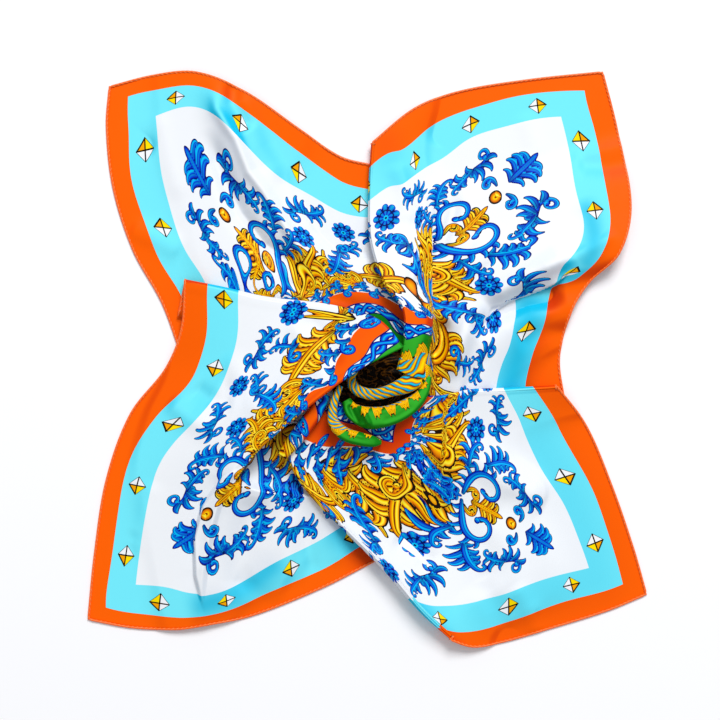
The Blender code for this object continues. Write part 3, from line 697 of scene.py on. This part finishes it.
    # small faceted lozenges in the turquoise border
    step = plan["tilePitch"]
    local = ((b / step + 0.5).fraction() - 0.5) * step
    rise = a - plan["tileAt"]
    edge = plan["tileSize"] - abs(local) * 0.92 - abs(rise)
    tile = f.mix(local > 0, "white", "lemon")
    tile = f.mix((rise > 0) * (local > 0), tile, "gold")
    tile = f.mix((abs(local) < line) + (abs(rise) < line), tile, "bark")
    tile = f.mix(edge < line + (rise > 0) * (local > 0) * 0.9, tile, "bark")
    low, high = plan["tilesBetween"]
    colour = f.mix((edge > 0) * (a > low) * (b < high), colour, tile)
    # dull gold tracery on the umber
    noise = f.grainy(place, 74.0, 2.0)
    umberTo = plan["bands"][1][0] - 0.5
    colour = f.mix((1 - abs(noise - 0.5) * 22).greater(0) * (a < umberTo) * 0.9, colour, "bronze")

    # the ink takes a little more on some threads, and the weave shows as a fine grain
    look = silkLook
    cloud = f.grainy(place, look["cloudScale"], 2.0)
    grain = ((parts + parts.other("Y")) * (2 * math.pi / (look["weave"] * mm))).sine()
    return f.finished({
        "Base Color": f.mix(look["threadInk"] + grain * look["threadInk"], colour, "bark"),
        "Roughness": (look["roughness"] + (cloud - 0.5) * look["cloudRoughness"]
                      + grain * look["threadRoughness"]),
        "Normal": f.bump(look["bump"], look["bumpDepth"], grain), "Specular IOR Level": look["gloss"],
        "Sheen Weight": look["sheen"], "Sheen Roughness": look["sheenRoughness"]})


def yarnFinish(name, scale, detail, low, high, roughness):
    # plain dyed silk with a fine uneven grain
    f = Finish(name)
    noise = f.grainy(f.add("ShaderNodeTexCoord", {}, {}, "Object"), scale, detail)
    return f, noise, {"Base Color": f.ramp(noise, [(0.3, low), (0.7, high)]),
                      "Roughness": roughness + (noise - 0.5) * 0.2}


def hemFinish():
    f, noise, values = yarnFinish("hemSilk", 900.0, 3.0, "hemLow", "hemHigh", 0.42)
    return f.finished({**values, "Normal": f.bump(0.2, 0.0002, noise), "Sheen Weight": 0.15})


def threadFinish():
    f, _, values = yarnFinish("hemThread", 1500.0, 2.0, "threadLow", "threadHigh", 0.5)
    return f.finished(values)


# cloth shells
# painted shade: slope, distance from the twist and height (mm) between which the dyes are painted darker
shadePlan = {"slope": (0.1, 0.62), "twist": (2, -16), "near": (48, 72), "low": (11, 19)}
# distances from the middle between which leaves are printed, and the jump in print that marks a lap, mm
fieldPlan = {"from": 114, "to": 230, "tornAt": 5.5}


def corners(index):
    return index[:-1, :-1], index[1:, :-1], index[1:, 1:], index[:-1, 1:]


def crossed(places, index):
    # each face's two diagonals multiplied: its normal, twice its area long
    a, b, c, d = corners(index)
    return np.cross(places[c] - places[a], places[d] - places[b])


def newPiece(name, points, faces, material):
    # points in mm from the tables' zero
    points = points.copy()
    points[:, :2] += silk["middle"]
    mesh = bpy.data.meshes.new(name)
    mesh.from_pydata((points * mm).tolist(), [], faces)
    mesh.shade_smooth()
    mesh.materials.append(material)
    piece = bpy.data.objects.new(name, mesh)
    collection.objects.link(piece)
    return piece


def printOn(mesh, flat, faces):
    # the flat places as a UV map, and the fields of the printed leaves
    vertices = np.array([corner for face in faces for corner in face])
    places = flat[vertices]
    sizes = np.array([len(face) for face in faces])
    starts = np.cumsum(sizes) - sizes
    # a face across a lap shows one side's print only
    quads = starts[sizes == 4][:, None] + np.arange(4)
    torn = quads[np.ptp(places[quads], axis=1).max(axis=1) > fieldPlan["tornAt"]]
    nearest = np.abs(places[torn]).max(axis=2).argmin(axis=1)
    places[torn] = places[torn[np.arange(len(torn)), nearest]][:, None]
    mesh.uv_layers.new(name="cloth").data.foreach_set("uv", (places * mm).ravel())
    reach = np.abs(flat).max(1)
    printed = np.nonzero((reach > fieldPlan["from"]) & (reach < fieldPlan["to"]))[0]
    for field, paint in (("goldField", paintGold), ("blueField", paintBlue)):
        values = np.tile([printLayout["outside"], 0.0, 0.0], (len(flat), 1))
        if len(printed):
            values[printed] = paint(flat[printed])
        mesh.attributes.new(field, "FLOAT_VECTOR", "POINT").data.foreach_set("vector", values.ravel())


class Shell:
    # a thin closed sheet of cloth: a fine face, a back at half its density and a rim
    def __init__(self):
        self.points, self.flat, self.lattices, self.count = [], [], [], 0

    def lattice(self, points, flat, shared=None, sides="nsew"):
        # rows of points (mm); shared gives indices already made, -1 where new
        index = np.full(points.shape[:2], -1) if shared is None else shared.copy()
        fresh = index < 0
        index[fresh] = self.count + np.arange(fresh.sum())
        self.points.append(points[fresh])
        self.flat.append(flat[fresh])
        self.count += int(fresh.sum())
        self.lattices.append((index, sides))
        return index

    def build(self, name, material, deep=()):
        points, flat = np.vstack(self.points), np.vstack(self.flat)
        normals = np.zeros_like(points)
        for index, _ in self.lattices:
            normal = crossed(points, index)
            for corner in corners(index):
                np.add.at(normals, corner.ravel(), normal.reshape(-1, 3))
        normals /= np.maximum(np.linalg.norm(normals, axis=1), 1e-12)[:, None]
        flipped = normals[self.lattices[0][0]].reshape(-1, 3)[:, 2].sum() < 0
        if flipped:
            normals = -normals
        back = np.full(len(points), -1)
        for index, _ in self.lattices:
            back[index[::2, ::2].ravel()] = 0
        kept = np.nonzero(back == 0)[0]
        back[kept] = len(points) + np.arange(len(kept))
        faces = []

        def put(*columns):
            columns = np.stack(columns, -1)
            columns = columns.reshape(-1, columns.shape[-1])
            faces.extend((columns[:, ::-1] if flipped else columns).tolist())

        for index, sides in self.lattices:
            put(*corners(index))
            put(*corners(back[index[::2, ::2]])[::-1])
            edges = {"n": index[0, ::-1], "s": index[-1, :], "w": index[:, 0], "e": index[::-1, -1]}
            for side in sides:
                line = edges[side]
                start, middle, end = line[:-2:2], line[1::2], line[2::2]
                put(start, back[start], back[end], end, middle)
        half = silk["thickness"] / 2
        allPoints = np.vstack([points + normals * half, points[kept] - normals[kept] * half])
        allFlat = np.vstack([flat, flat[kept]])
        piece = newPiece(name, allPoints, faces, material)
        printOn(piece.data, allFlat, faces)
        # painted shade: cloth that slopes, lies low beside the twist where the curls shade it, or lies
        # along a listed deep stretch gets a shade value that darkens its dyes
        plan = shadePlan
        shade = smoothStep(*plan["slope"], np.hypot(normals[:, 0], normals[:, 1]))
        gap = np.hypot(points[:, 0] - plan["twist"][0], points[:, 1] - plan["twist"][1])
        shadowByTwist = (1 - smoothStep(*plan["near"], gap)) * (1 - smoothStep(*plan["low"], points[:, 2]))
        shade = np.maximum(shade, shadowByTwist)
        shade = np.maximum(shade, creaseHeight(deep, points[:, 0], points[:, 1]))
        shades = np.concatenate([shade, shade[kept]])
        piece.data.attributes.new("shade", "FLOAT", "POINT").data.foreach_set("value", shades)
        cloth = sum(np.linalg.norm(crossed(points, index), axis=-1).sum() / 2 for index, _ in self.lattices)
        cut = sum(np.abs(crossed(flat, index)).sum() / 2 for index, _ in self.lattices)
        print(f"{name}: {len(faces)} faces, cloth {cloth / 1e6:.4f} m2, flat {cut / 1e6:.4f} m2")
        self.flatArea, self.clothArea = cut * 1e-6, cloth * 1e-6
        self.flatSize = tuple(np.ptp(flat, axis=0) * mm)
        return piece


def drawnIn(rows, count, inside):
    # a fold's outline drawn in by its roll, and its outward normals
    path = smoothCurve(rows, count)
    normals = outwardNormals(path, inside)
    roll = np.maximum(path[:, 3], 0)
    roll[roll <= silk["flatUnder"]] = 0
    path[:, 3], path[:, 4] = roll, np.maximum(path[:, 4], 0)
    path[:, :2] -= normals * roll[:, None]
    return path, normals


# rows of the plain solid across a petal; creases die away within 3 of them, fine ones within 1.2
# levelRows: rows over which a sheet runs out level to a roll whose radius lies between rolls or above
sheetPlan = {"rows": 17, "creaseFade": 3, "fineFade": 1.2, "levelRows": 9, "rolls": (0.8, 1.6)}


def patch(hemA, hemB, foldA, foldB, creases, fine):
    # a sheet between four edges: columns x, y, height and the two flat places
    s = np.linspace(0, 1, len(hemA))[:, None, None]
    t = np.linspace(0, 1, len(hemB))[None, :, None]
    ends = (1 - s) * (1 - t) * hemA[0] + s * (1 - t) * hemA[-1] + (1 - s) * t * hemB[-1] + s * t * foldA[-1]
    grid = (1 - t) * hemA[:, None] + t * foldB[:, None] + (1 - s) * hemB[None] + s * foldA[None] - ends
    x, y, z = grid[..., 0], grid[..., 1], grid[..., 2]
    edge = np.minimum(1 - s, 1 - t)[..., 0] * sheetPlan["rows"]
    z = z + creaseHeight(creases, x, y) * smoothStep(0, sheetPlan["creaseFade"], edge)
    z = np.maximum(z, 0)
    z = z * smoothStep(silk["restLow"], silk["restHigh"], z)
    z = z + creaseHeight(fine, x, y) * smoothStep(0, sheetPlan["fineFade"], edge)
    grid[..., 2] = np.maximum(z, 0) + silk["restHeight"]
    return grid


def levelled(grid, rollA, rollB):
    # the sheet runs out level to its rolled folds, so that the roll shows no seam
    near = smoothStep(0, 1, np.arange(len(grid) - 1, -1, -1) / sheetPlan["levelRows"])
    z = grid[..., 2]
    weight = smoothStep(*sheetPlan["rolls"], rollA)[None]
    z = z + (z[-1:, :] - z) * (1 - near[:, None]) * weight
    weight = smoothStep(*sheetPlan["rolls"], rollB)[:, None]
    z = z + (z[:, -1:] - z) * (1 - near[None]) * weight
    grid[..., 2] = z
    return grid


# mm over which a mark moves the print, and how much the fit may miss it
# hemSpots: places along each hem where the print stays put
fitPlan = {"reach": 36.0, "innerReach": 15.0, "give": 0.04, "hemSpots": 10, "flankEvery": 15}


def bandFitter(sheets, table):
    # moves the flat places so that the printed bands pass through the marks
    fitted = {}
    grid = sheets[0]
    n = len(grid) - 1
    spots = range(0, n + 1, n // fitPlan["hemSpots"])
    hems = [grid[k, 0] for k in spots] + [grid[0, k] for k in spots]
    every = np.vstack([sheet[::2, ::2].reshape(-1, 5) for sheet in sheets])
    if len(sheets) > 1:
        hems += [sheets[1][k, 0] for k in range(0, len(sheets[1]), fitPlan["flankEvery"])]
    for axis in (0, 1):
        rows = []
        for key, reach in (("marks", fitPlan["reach"]), ("innerMarks", fitPlan["innerReach"])):
            for which, value, *spots in table[key]:
                for x, y in spots if which == axis else ():
                    found = every[np.argmin((every[:, 0] - x)**2 + (every[:, 1] - y)**2)]
                    rows.append((x, y, reach, value - found[3 + axis]))
        rows += [(row[0], row[1], fitPlan["reach"], 0.0) for row in hems]
        rows = np.array(rows)

        def kernel(x, y, rows=rows):
            gap = (x[..., None] - rows[:, 0])**2 + (y[..., None] - rows[:, 1])**2
            return np.exp(-gap / rows[:, 2]**2)

        matrix = kernel(rows[:, 0], rows[:, 1]) + np.eye(len(rows)) * fitPlan["give"]
        fitted[axis] = (kernel, np.linalg.solve(matrix, rows[:, 3]))

    def shift(points):
        moved = points.copy()
        for axis, (kernel, weights) in fitted.items():
            moved[..., 3 + axis] += kernel(points[..., 0], points[..., 1]) @ weights
        return moved

    return shift


# mm over which a step's height and its jump in print die away, and the same for a deep lap
lapPlan = {"height": 9, "jump": 22, "ends": 0.25, "start": 26, "spread": 46, "under": 0.2}


def stepFolds(grid, steps):
    # where one side of a crease laps over the other: a step in height, and cloth hidden in the lap
    for drop, width, jump, path in steps:
        nearest, share, side = nearestOn(path, grid[..., 0], grid[..., 1])
        fade = endFade(share, lapPlan["ends"])
        rise = smoothStep(-width, width, nearest * side) - 0.5
        z = grid[..., 2] + drop * rise * fade * np.exp(-nearest / lapPlan["height"])
        grid[..., 2] = np.maximum(z, silk["restHeight"])
        for axis in (0, 1):
            grid[..., 3 + axis] += jump[axis] * rise * fade * np.exp(-nearest / lapPlan["jump"])
    return grid


def lapCloth(grid, laps):
    # at a deep lap the print jumps, because the cloth between is out of sight
    rows = np.arange(len(grid))
    for reach, path in laps:
        path = np.asarray(path, float)[::-1]
        line = np.interp(grid[..., 1], path[:, 1], path[:, 0])
        for column in range(grid.shape[1]):
            beyond = np.nonzero(grid[:, column, 0] < line[:, column])[0]
            if not len(beyond) or beyond[0] < 2:
                continue
            at = beyond[0]
            strength = smoothStep(0, lapPlan["start"], path[-1, 1] - grid[at, column, 1])
            gap = rows - at + 0.5
            pull = np.where(gap > 0, lapPlan["under"], -1) * reach * strength
            moved = rows + pull * np.exp(-abs(gap) / lapPlan["spread"])
            for axis in (3, 4):
                grid[:, column, axis] = np.interp(moved, rows, grid[:, column, axis].copy())
    return grid


def roundCorner(grid, radius):
    # the hems turn the scarf's corner on a small arc
    origin, reach, at = grid[0, 0, :3].copy(), silk["cornerRows"], silk["cornerAlong"]
    # the two hems' directions, seen from the corner
    alongA, alongB = unit(np.stack([grid[at, 0, :3] - origin, grid[0, at, :3] - origin]))
    p = np.linalg.norm(grid[:reach, 0, :3] - origin, axis=1)[:, None] * np.ones((1, reach))
    q = np.linalg.norm(grid[0, :reach, :3] - origin, axis=1)[None] * np.ones((reach, 1))
    a, b = np.maximum(radius - p, 0), np.maximum(radius - q, 0)
    scale = np.where((a > 0) & (b > 0), np.maximum(a, b) / np.maximum(np.hypot(a, b), 1e-9), 1)
    for gap, along in ((a, alongA), (b, alongB)):
        grid[:reach, :reach, :3] += ((1 - scale) * gap)[..., None] * along
    return grid


def foldStrip(edgeRows, normals, edge, inner):
    # the half turn at a fold and the layer that returns beneath it
    roll = np.maximum(edgeRows[:, 3], silk["leastRoll"])[None, :, None]
    tuck = np.maximum(edgeRows[:, 4], silk["leastTuck"])[None, :, None]
    outward = np.hstack([normals, np.zeros((len(normals), 1))])[None]
    angle = (np.pi * np.arange(silk["rollRows"] + 1) / silk["rollRows"])[:, None, None]
    turn = edge[None, :, :3] + outward * np.sin(angle) * roll
    turn[..., 2] += ((np.cos(angle) - 1) * roll)[..., 0]
    share = (np.arange(1, silk["tuckRows"] + 1) / silk["tuckRows"])[:, None, None]
    under = turn[-1:] - outward * tuck * share
    points = np.vstack([turn, under])
    away = unit(edge[:, 3:] - inner[:, 3:])
    travel = np.vstack([angle * roll, np.pi * roll + share * tuck])
    return points, edge[None, :, 3:] + away[None] * travel


def ridgeSplit(foldA):
    # the last even row of a fold before its roll begins
    return int(np.nonzero(foldA[:, 3] == 0)[0].max()) // 2 * 2


def makeFlank(table, grid, foldA):
    # the cloth beyond a petal's ridge, which it shares as far as the split
    flank = table["flank"]
    n, split = len(grid) - 1, ridgeSplit(foldA)
    end = [list(row) for row in flank["ridgeEnd"]]
    end[0] = grid[-1, split].tolist()
    end[0][2] -= silk["restHeight"]
    ridge = grid[-1].copy()
    ridge[:, 2] -= silk["restHeight"]
    ridge[split:] = smoothCurve(end, n - split)
    hem = hemRow(flank["hemA"], flank["rows"], *flank["ends"])
    hem[0] = ridge[0]
    return patch(hem, ridge, smoothCurve(flank["foldA"], n), smoothCurve(flank["foldB"], flank["rows"]),
                 flank["creases"], flank["fine"])


def makePetal(table):
    # one petal of the laid scarf as a thin shell with its rolled folds
    n = table["cells"]
    corner = table["hemA"][0]
    hemA = hemRow(table["hemA"], n, table["corner"], table["ends"][0])
    hemB = hemRow(table["hemB"], n, table["corner"], table["ends"][1])
    foldA, normalsA = drawnIn(table["foldA"], n, corner)
    foldB, normalsB = drawnIn(table["foldB"], n, corner)
    # x, y, height and the flat place
    columns = [0, 1, 2, 5, 6]
    edgeA, edgeB = foldA[:, columns], foldB[:, columns]
    hemA[-1], hemB[-1] = edgeA[0], edgeB[0]
    edgeB[-1] = edgeA[-1]
    grid = patch(hemA, hemB, edgeA, edgeB, table["creases"], table["fine"])
    grid = stepFolds(levelled(grid, foldA[:, 3], foldB[:, 3]), table["steps"])
    sheets = [grid]
    if "flank" in table:
        sheets.append(makeFlank(table, grid, foldA))
    shift = bandFitter(sheets, table)
    grid = roundCorner(lapCloth(shift(grid), table["laps"]), silk["cornerRadius"])
    rolledA, rolledB = foldA[:, 3].max() > 0, foldB[:, 3].max() > 0
    split = ridgeSplit(foldA) if "flank" in table else 0
    sides = "nw" + ("" if rolledA else "s") + ("" if rolledB else "e")
    shell = Shell()
    index = shell.lattice(grid[..., :3], grid[..., 3:], None, sides)
    sideA, sideB = [(grid[:, 0, :3], grid[:, 1, :3])], [(grid[0, :, :3], grid[1, :, :3])]
    inset = max(n // silk["foldInset"], 1)
    if rolledA:
        points, flat = foldStrip(foldA, normalsA, grid[-1], grid[-1 - inset])
        points, flat = points[:, split:], flat[:, split:]
        shared = np.full(points.shape[:2], -1)
        shared[0] = index[-1, split:]
        shell.lattice(points, flat, shared, "swe")
        if not split:
            sideA.append((points[1:, 0], points[1:, 1]))
    if rolledB:
        points, flat = foldStrip(foldB, normalsB, grid[:, -1], grid[:, -1 - inset])
        shared = np.full(points.shape[:2], -1)
        shared[0] = index[:, -1]
        # rows run the other way round the corner, so the strip is turned over
        shell.lattice(points[:, ::-1], flat[:, ::-1], shared[:, ::-1], "swe")
        sideB.append((points[1:, 0], points[1:, 1]))
    if split:
        side = shift(sheets[1])
        side[0, :split + 1] = grid[-1, :split + 1]
        shared = np.full(side.shape[:2], -1)
        shared[0, :split + 1] = index[-1, :split + 1]
        shell.lattice(side[..., :3], side[..., 3:], shared, "swe")
        sideA.append((side[1:, 0, :3], side[1:, 1, :3]))
    piece = shell.build("petal_" + table["name"] + "_cloth", printedSilk, table["deep"])
    return piece, shell, sideA, sideB


bpy.ops.object.select_all(action="DESELECT")
collection = bpy.data.collections.new("silkScarf")
bpy.context.scene.collection.children.link(collection)
printedSilk, hemSilk, hemThread = silkFinish(), hemFinish(), threadFinish()
print("materials ready")


# hems
# stitchFrom, stitchTurn: degrees round the roll from level outside, at a stitch's start and over its length
hemPlan = {"radius": 0.82, "overlap": 0.4, "lift": 0.1, "clear": 0.02, "spacing": 0.9, "sides": 10,
           "pinch": 0.05, "nub": 0.9, "upright": 0.2,
           "stitchPitch": 3.5, "stitchSlant": 1.7, "stitchSteps": 6, "stitchTail": 0.2, "stitchMiddle": 0.4,
           "stitchFrom": 168, "stitchTurn": -74, "stitchLift": 0.04, "threadRadius": 0.19, "threadSides": 4}


def hemLine(pieces):
    # the middle of the rolled hem along one side, from the corner to its hidden end
    edge = np.vstack([p for p, _ in pieces])
    inner = np.vstack([q for _, q in pieces])
    along = unit(chords(edge))
    outward = edge - inner
    outward -= along * (outward * along).sum(1)[:, None]
    outward = unit(outward)
    line = edge + outward * (hemPlan["radius"] - hemPlan["overlap"])
    line[:, 2] = np.maximum(line[:, 2] + hemPlan["lift"], hemPlan["radius"] + hemPlan["clear"])
    return line, outward


def thinned(line, spacing):
    # the points of a line that stand at least a spacing apart
    kept = [0]
    for k in range(1, len(line)):
        if np.linalg.norm(line[k] - line[kept[-1]]) > spacing:
            kept.append(k)
    return kept


def tube(line, radii, sides):
    # rings round a line, and their faces
    tangents = unit(chords(line))
    side = np.cross([0.0, 0.0, 1.0], tangents)
    # where the line stands nearly upright a ring keeps the direction of the one before it
    for k in np.nonzero(np.linalg.norm(side, axis=1) < hemPlan["upright"])[0]:
        if k:
            side[k] = side[k - 1] - tangents[k] * (side[k - 1] @ tangents[k])
    side = unit(side)
    up = np.cross(tangents, side)
    angle = 2 * np.pi * np.arange(sides) / sides
    rings = (line[:, None] + radii[:, None, None] * (np.cos(angle)[None, :, None] * side[:, None]
                                                      + np.sin(angle)[None, :, None] * up[:, None]))
    faces = [(k + j, k + (j + 1) % sides, k + sides + (j + 1) % sides, k + sides + j)
             for k in range(0, (len(line) - 1) * sides, sides) for j in range(sides)]
    faces += [tuple(range(sides))[::-1], tuple((len(line) - 1) * sides + j for j in range(sides))]
    return rings.reshape(-1, 3), faces


def onHem(line, travelled, at):
    # a line's value at a length along the hem
    return np.array([np.interp(at, travelled, line[:, c]) for c in range(3)])


def makeHem(name, sideA, sideB):
    # the hand-rolled hem round a petal's corner, and the slip stitches that hold it
    plan = hemPlan
    lineA, outA = hemLine(sideA)
    lineB, outB = hemLine(sideB)
    bothOut = outA[0] + outB[0]
    bothOut /= np.linalg.norm(bothOut)
    corner = (lineA[0] + lineB[0]) / 2 + bothOut * plan["nub"]
    line = np.vstack([lineA[:0:-1], corner[None], lineB[1:]])
    out = np.vstack([outA[:0:-1], bothOut[None], outB[1:]])
    kept = sorted({*thinned(line, plan["spacing"]), len(lineA) - 1})
    line, out = line[kept], out[kept]
    travelled = lengthPassed(line)
    pitch = plan["stitchPitch"]
    radii = plan["radius"] * (1 - plan["pinch"] * (0.5 + 0.5 * np.cos(2 * np.pi * (travelled / pitch))))
    roll = newPiece("hem_" + name + "_roll", *tube(line, radii, plan["sides"]), hemSilk)
    stitchPoints, stitchFaces, total = [], [], 0
    for count in range(1, int(travelled[-1] / pitch)):
        path = []
        for step in np.linspace(-plan["stitchTail"], 1, plan["stitchSteps"]):
            # from the cloth beside the hem, slanting over its crown
            here = count * pitch + (step - plan["stitchMiddle"]) * plan["stitchSlant"]
            outward = onHem(out, travelled, here)
            outward[2] = 0
            outward /= max(np.linalg.norm(outward), 1e-6)
            angle = math.radians(plan["stitchFrom"] + plan["stitchTurn"] * step)
            path.append(onHem(line, travelled, here) + (plan["radius"] + plan["stitchLift"]) * (
                outward * math.cos(angle) + np.array([0, 0, 1]) * math.sin(angle)))
        points, faces = tube(np.array(path), np.full(len(path), plan["threadRadius"]), plan["threadSides"])
        stitchPoints.append(points)
        stitchFaces += [tuple(i + total for i in face) for face in faces]
        total += len(points)
    return roll, newPiece("hem_" + name + "_stitches", np.vstack(stitchPoints), stitchFaces, hemThread)


# the twist
# rows: x, y, crest, half width, drop of the sides, flat distance at the inner and outer side
# skirt: how far the sides fall. creases: height, width and path
curls = {
    "twist_inner_curl": {"held": "folded", "skirt": 5.0, "rows": [
        (43, -3, 20.6, 5.4, 3, 84, 96), (39, -12, 22, 7.4, 4, 82, 95), (30, -19, 24.4, 6.6, 5, 76, 92),
        (20, -23, 24, 4.8, 6, 76, 91), (10, -26, 23, 4.2, 6, 75, 91), (1, -26, 21, 4.2, 6, 74, 91),
        (-8, -22, 19, 4.0, 6, 74, 90), (-11, -15, 17, 3.4, 6, 74, 88), (-8, -8, 15, 2.4, 5, 74, 86)],
        "creases": [(0.7, 1.4, [(26, -16), (14, -22), (2, -24)]),
                    (-0.6, 1.4, [(30, -24), (16, -27), (4, -28)])]},
    "twist_outer_curl": {"held": "folded", "skirt": 5.0, "rows": [
        (47, -13, 20, 2.2, 4, 90, 103), (44, -23, 21, 3.6, 4, 90, 103), (38, -31, 22, 5.4, 5, 89, 104),
        (28, -38, 24, 6.8, 6, 88, 105), (15, -43, 25, 7.6, 7, 89, 105), (1, -44, 24, 8.0, 7, 90, 105),
        (-10, -39, 22, 6.0, 6, 91, 105), (-15, -31, 19, 3.2, 5, 92, 104)],
        "creases": [(3.4, 1.7, [(-6, -30), (-3, -38), (4, -51)]),
                    (-3.0, 2.6, [(-13, -33), (-9, -42), (-4, -50)]),
                    (1.0, 2.0, [(8, -40), (20, -37), (34, -28)]),
                    (-0.9, 2.4, [(10, -47), (24, -43), (38, -34)])]},
    "twist_lower_curl": {"held": "folded", "skirt": 5.0, "rows": [
        (-19, -20, 24, 1.8, 4, 76, 86), (-23, -29, 25, 2.8, 5, 76, 88), (-25, -39, 26, 3.2, 5, 77, 90),
        (-24, -48, 27, 4.0, 5, 80, 94), (-16, -56, 27, 4.8, 6, 88, 101), (-4, -60, 26, 4.8, 6, 93, 104),
        (6, -62, 23, 3.8, 5, 94, 104), (11.5, -62.6, 19.5, 1.4, 3, 96, 104)],
        "creases": [(0.9, 1.8, [(-22, -44), (-12, -55), (2, -59)]), (-0.6, 1.6, [(-27, -40), (-24, -50)])]},
    "twist_under_pleat": {"held": "folded", "skirt": 3.0, "rows": [
        (-31, -26, 22.6, 4.4, 4, 105, 110), (-37, -38, 22.6, 5.4, 5, 110, 122),
        (-46, -51, 21.6, 6.0, 5, 120, 134), (-56, -64, 19.6, 5.2, 4, 138, 150),
        (-63, -73, 17.6, 3.4, 3, 155, 165)],
        "creases": []},
}


# rows of faces along each stretch of a curl, over its arch and down each side; lowest: mm from the surface
curlMesh = {"along": 16, "over": 24, "down": 6, "archPower": 1.7, "lowest": 1.0}


def makeCurl(name, plan):
    # an arched strip of cloth that runs round the twist, its sides falling into the dark
    rows = smoothCurve(plan["rows"], curlMesh["along"] * (len(plan["rows"]) - 1))
    normals = outwardNormals(rows, (0, 0))
    skirt = curlMesh["down"]
    share = np.linspace(-1, 1, curlMesh["over"] + 1)
    angle = share * np.pi / 2
    crest, half, drop, near, far = (rows[:, k:k + 1] for k in range(2, 7))
    side = np.pad(half * np.sin(angle)[None], ((0, 0), (skirt, skirt)), "edge")
    height = crest - drop * ((1 - np.cos(angle))**curlMesh["archPower"])[None]
    down = np.arange(1, skirt + 1)[None] / skirt * plan["skirt"]
    height = np.hstack([height[:, :1] - down[:, ::-1], height, height[:, -1:] - down])
    x, y = rows[:, :1] + normals[:, :1] * side, rows[:, 1:2] + normals[:, 1:] * side
    height = np.maximum(height + creaseHeight(plan["creases"], x, y), curlMesh["lowest"])
    points = np.stack([x, y, height], -1)
    distance = near + (far - near) * np.pad((share + 1) / 2, skirt, "edge")[None]
    distance = distance + np.concatenate([-down[0, ::-1], 0 * share, down[0]])[None]
    travelled = lengthPassed(rows[:, :3])
    along = (travelled - travelled[-1] / 2)[:, None] + 0 * distance
    shell = Shell()
    shell.lattice(points[:, ::-1], np.stack([distance, along], -1)[:, ::-1])
    return shell.build(name + "_cloth", printedSilk), shell


# pleatSizes: the pleats' mean height, the main pleats and the slow ones. cut: flat width over half width
heart = {"centre": (10, -15), "half": (37, 28), "floor": 2.9, "rise": 3.4, "bulge": 2.6, "rings": 40,
         "sides": 120, "firstRing": 0.02, "pleats": 7, "slowPleats": 3, "pleatSizes": (0.5, 0.32, 0.18),
         "turn": 1.9, "flatReach": 66, "cut": 2.2}


def makeHeart():
    # the middle of the square, rumpled at the bottom of the twist
    share = np.linspace(heart["firstRing"], 1, heart["rings"] + 1)[:, None]
    turn = np.linspace(0, 2 * np.pi, heart["sides"] + 1)[None]
    swirl = turn + heart["turn"] * share
    x = heart["centre"][0] + heart["half"][0] * share * np.cos(turn)
    y = heart["centre"][1] + heart["half"][1] * share * np.sin(turn)
    mean, main, slow = heart["pleatSizes"]
    pleat = mean + main * np.sin(heart["pleats"] * swirl) + slow * np.sin(heart["slowPleats"] * swirl + 1)
    z = heart["floor"] + heart["rise"] * heart["bulge"] * pleat * share * (1 - share**2)
    out = heart["flatReach"] * share
    flat = np.stack([out * np.cos(swirl), out * np.sin(swirl)], -1)
    shell = Shell()
    shell.lattice(np.stack([x, y, z], -1), flat)
    return shell.build("twist_heart_cloth", printedSilk), shell


# making it all
for table in (upperLeft, upperRight, lowerLeft, lowerRight):
    name = table["name"]
    cloth, shell, sideA, sideB = makePetal(table)
    hem, stitches = makeHem(name, sideA, sideB)
    for piece in (cloth, hem, stitches):
        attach(piece, "root")
    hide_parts("petal_" + name)
    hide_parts("hem_" + name)
    print("petal", name, "made")

for name, plan in curls.items():
    cloth, shell = makeCurl(name, plan)
    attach(cloth, "root")
    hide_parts(name)
cloth, shell = makeHeart()
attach(cloth, "root")
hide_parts("twist_heart")
print("twist made")

# floor, light and camera, m
stage = {"floorSize": 6.0, "floorInk": "paper", "floorRoughness": 0.85, "floorGrain": 60.0,
         "floorGloss": 0.1, "cameraPlace": (-0.0057, -0.00095, 1.5), "lens": 98.9, "sensor": 36.0,
         "keyPlace": (0.9, 3.4, 3.4), "keySize": 2.0, "keyEnergy": 208.0,
         "worldColour": (0.95, 0.97, 1.0, 1.0), "worldStrength": 0.5}
bpy.ops.mesh.primitive_plane_add(size=stage["floorSize"], location=(0, 0, 0))
floor = bpy.context.object
floor.name = "floor"
f = Finish("paperFloor")
noise = f.grainy(f.add("ShaderNodeTexCoord", {}, {}, "Object"), stage["floorGrain"], 2.0)
floor.data.materials.append(f.finished({
    "Base Color": stage["floorInk"], "Roughness": stage["floorRoughness"] + (noise - 0.5) * 0.05,
    "Specular IOR Level": stage["floorGloss"]}))

world = bpy.data.worlds.new("softStudio")
bpy.context.scene.world = world
world.use_nodes = True
backdrop = world.node_tree.nodes["Background"]
backdrop.inputs["Color"].default_value = stage["worldColour"]
backdrop.inputs["Strength"].default_value = stage["worldStrength"]

light = bpy.data.lights.new("keyLight", "AREA")
light.energy, light.size = stage["keyEnergy"], stage["keySize"]
lamp = bpy.data.objects.new("keyLight", light)
collection.objects.link(lamp)
lamp.location = stage["keyPlace"]
lamp.rotation_euler = Vector(stage["keyPlace"]).to_track_quat("Z", "Y").to_euler()

camera = bpy.data.cameras.new("camera")
camera.lens, camera.sensor_width = stage["lens"], stage["sensor"]
cameraObject = bpy.data.objects.new("camera", camera)
bpy.context.scene.collection.objects.link(cameraObject)
cameraObject.location = stage["cameraPlace"]
bpy.context.scene.camera = cameraObject
bpy.context.scene.view_settings.view_transform = "Standard"
print("stage set")
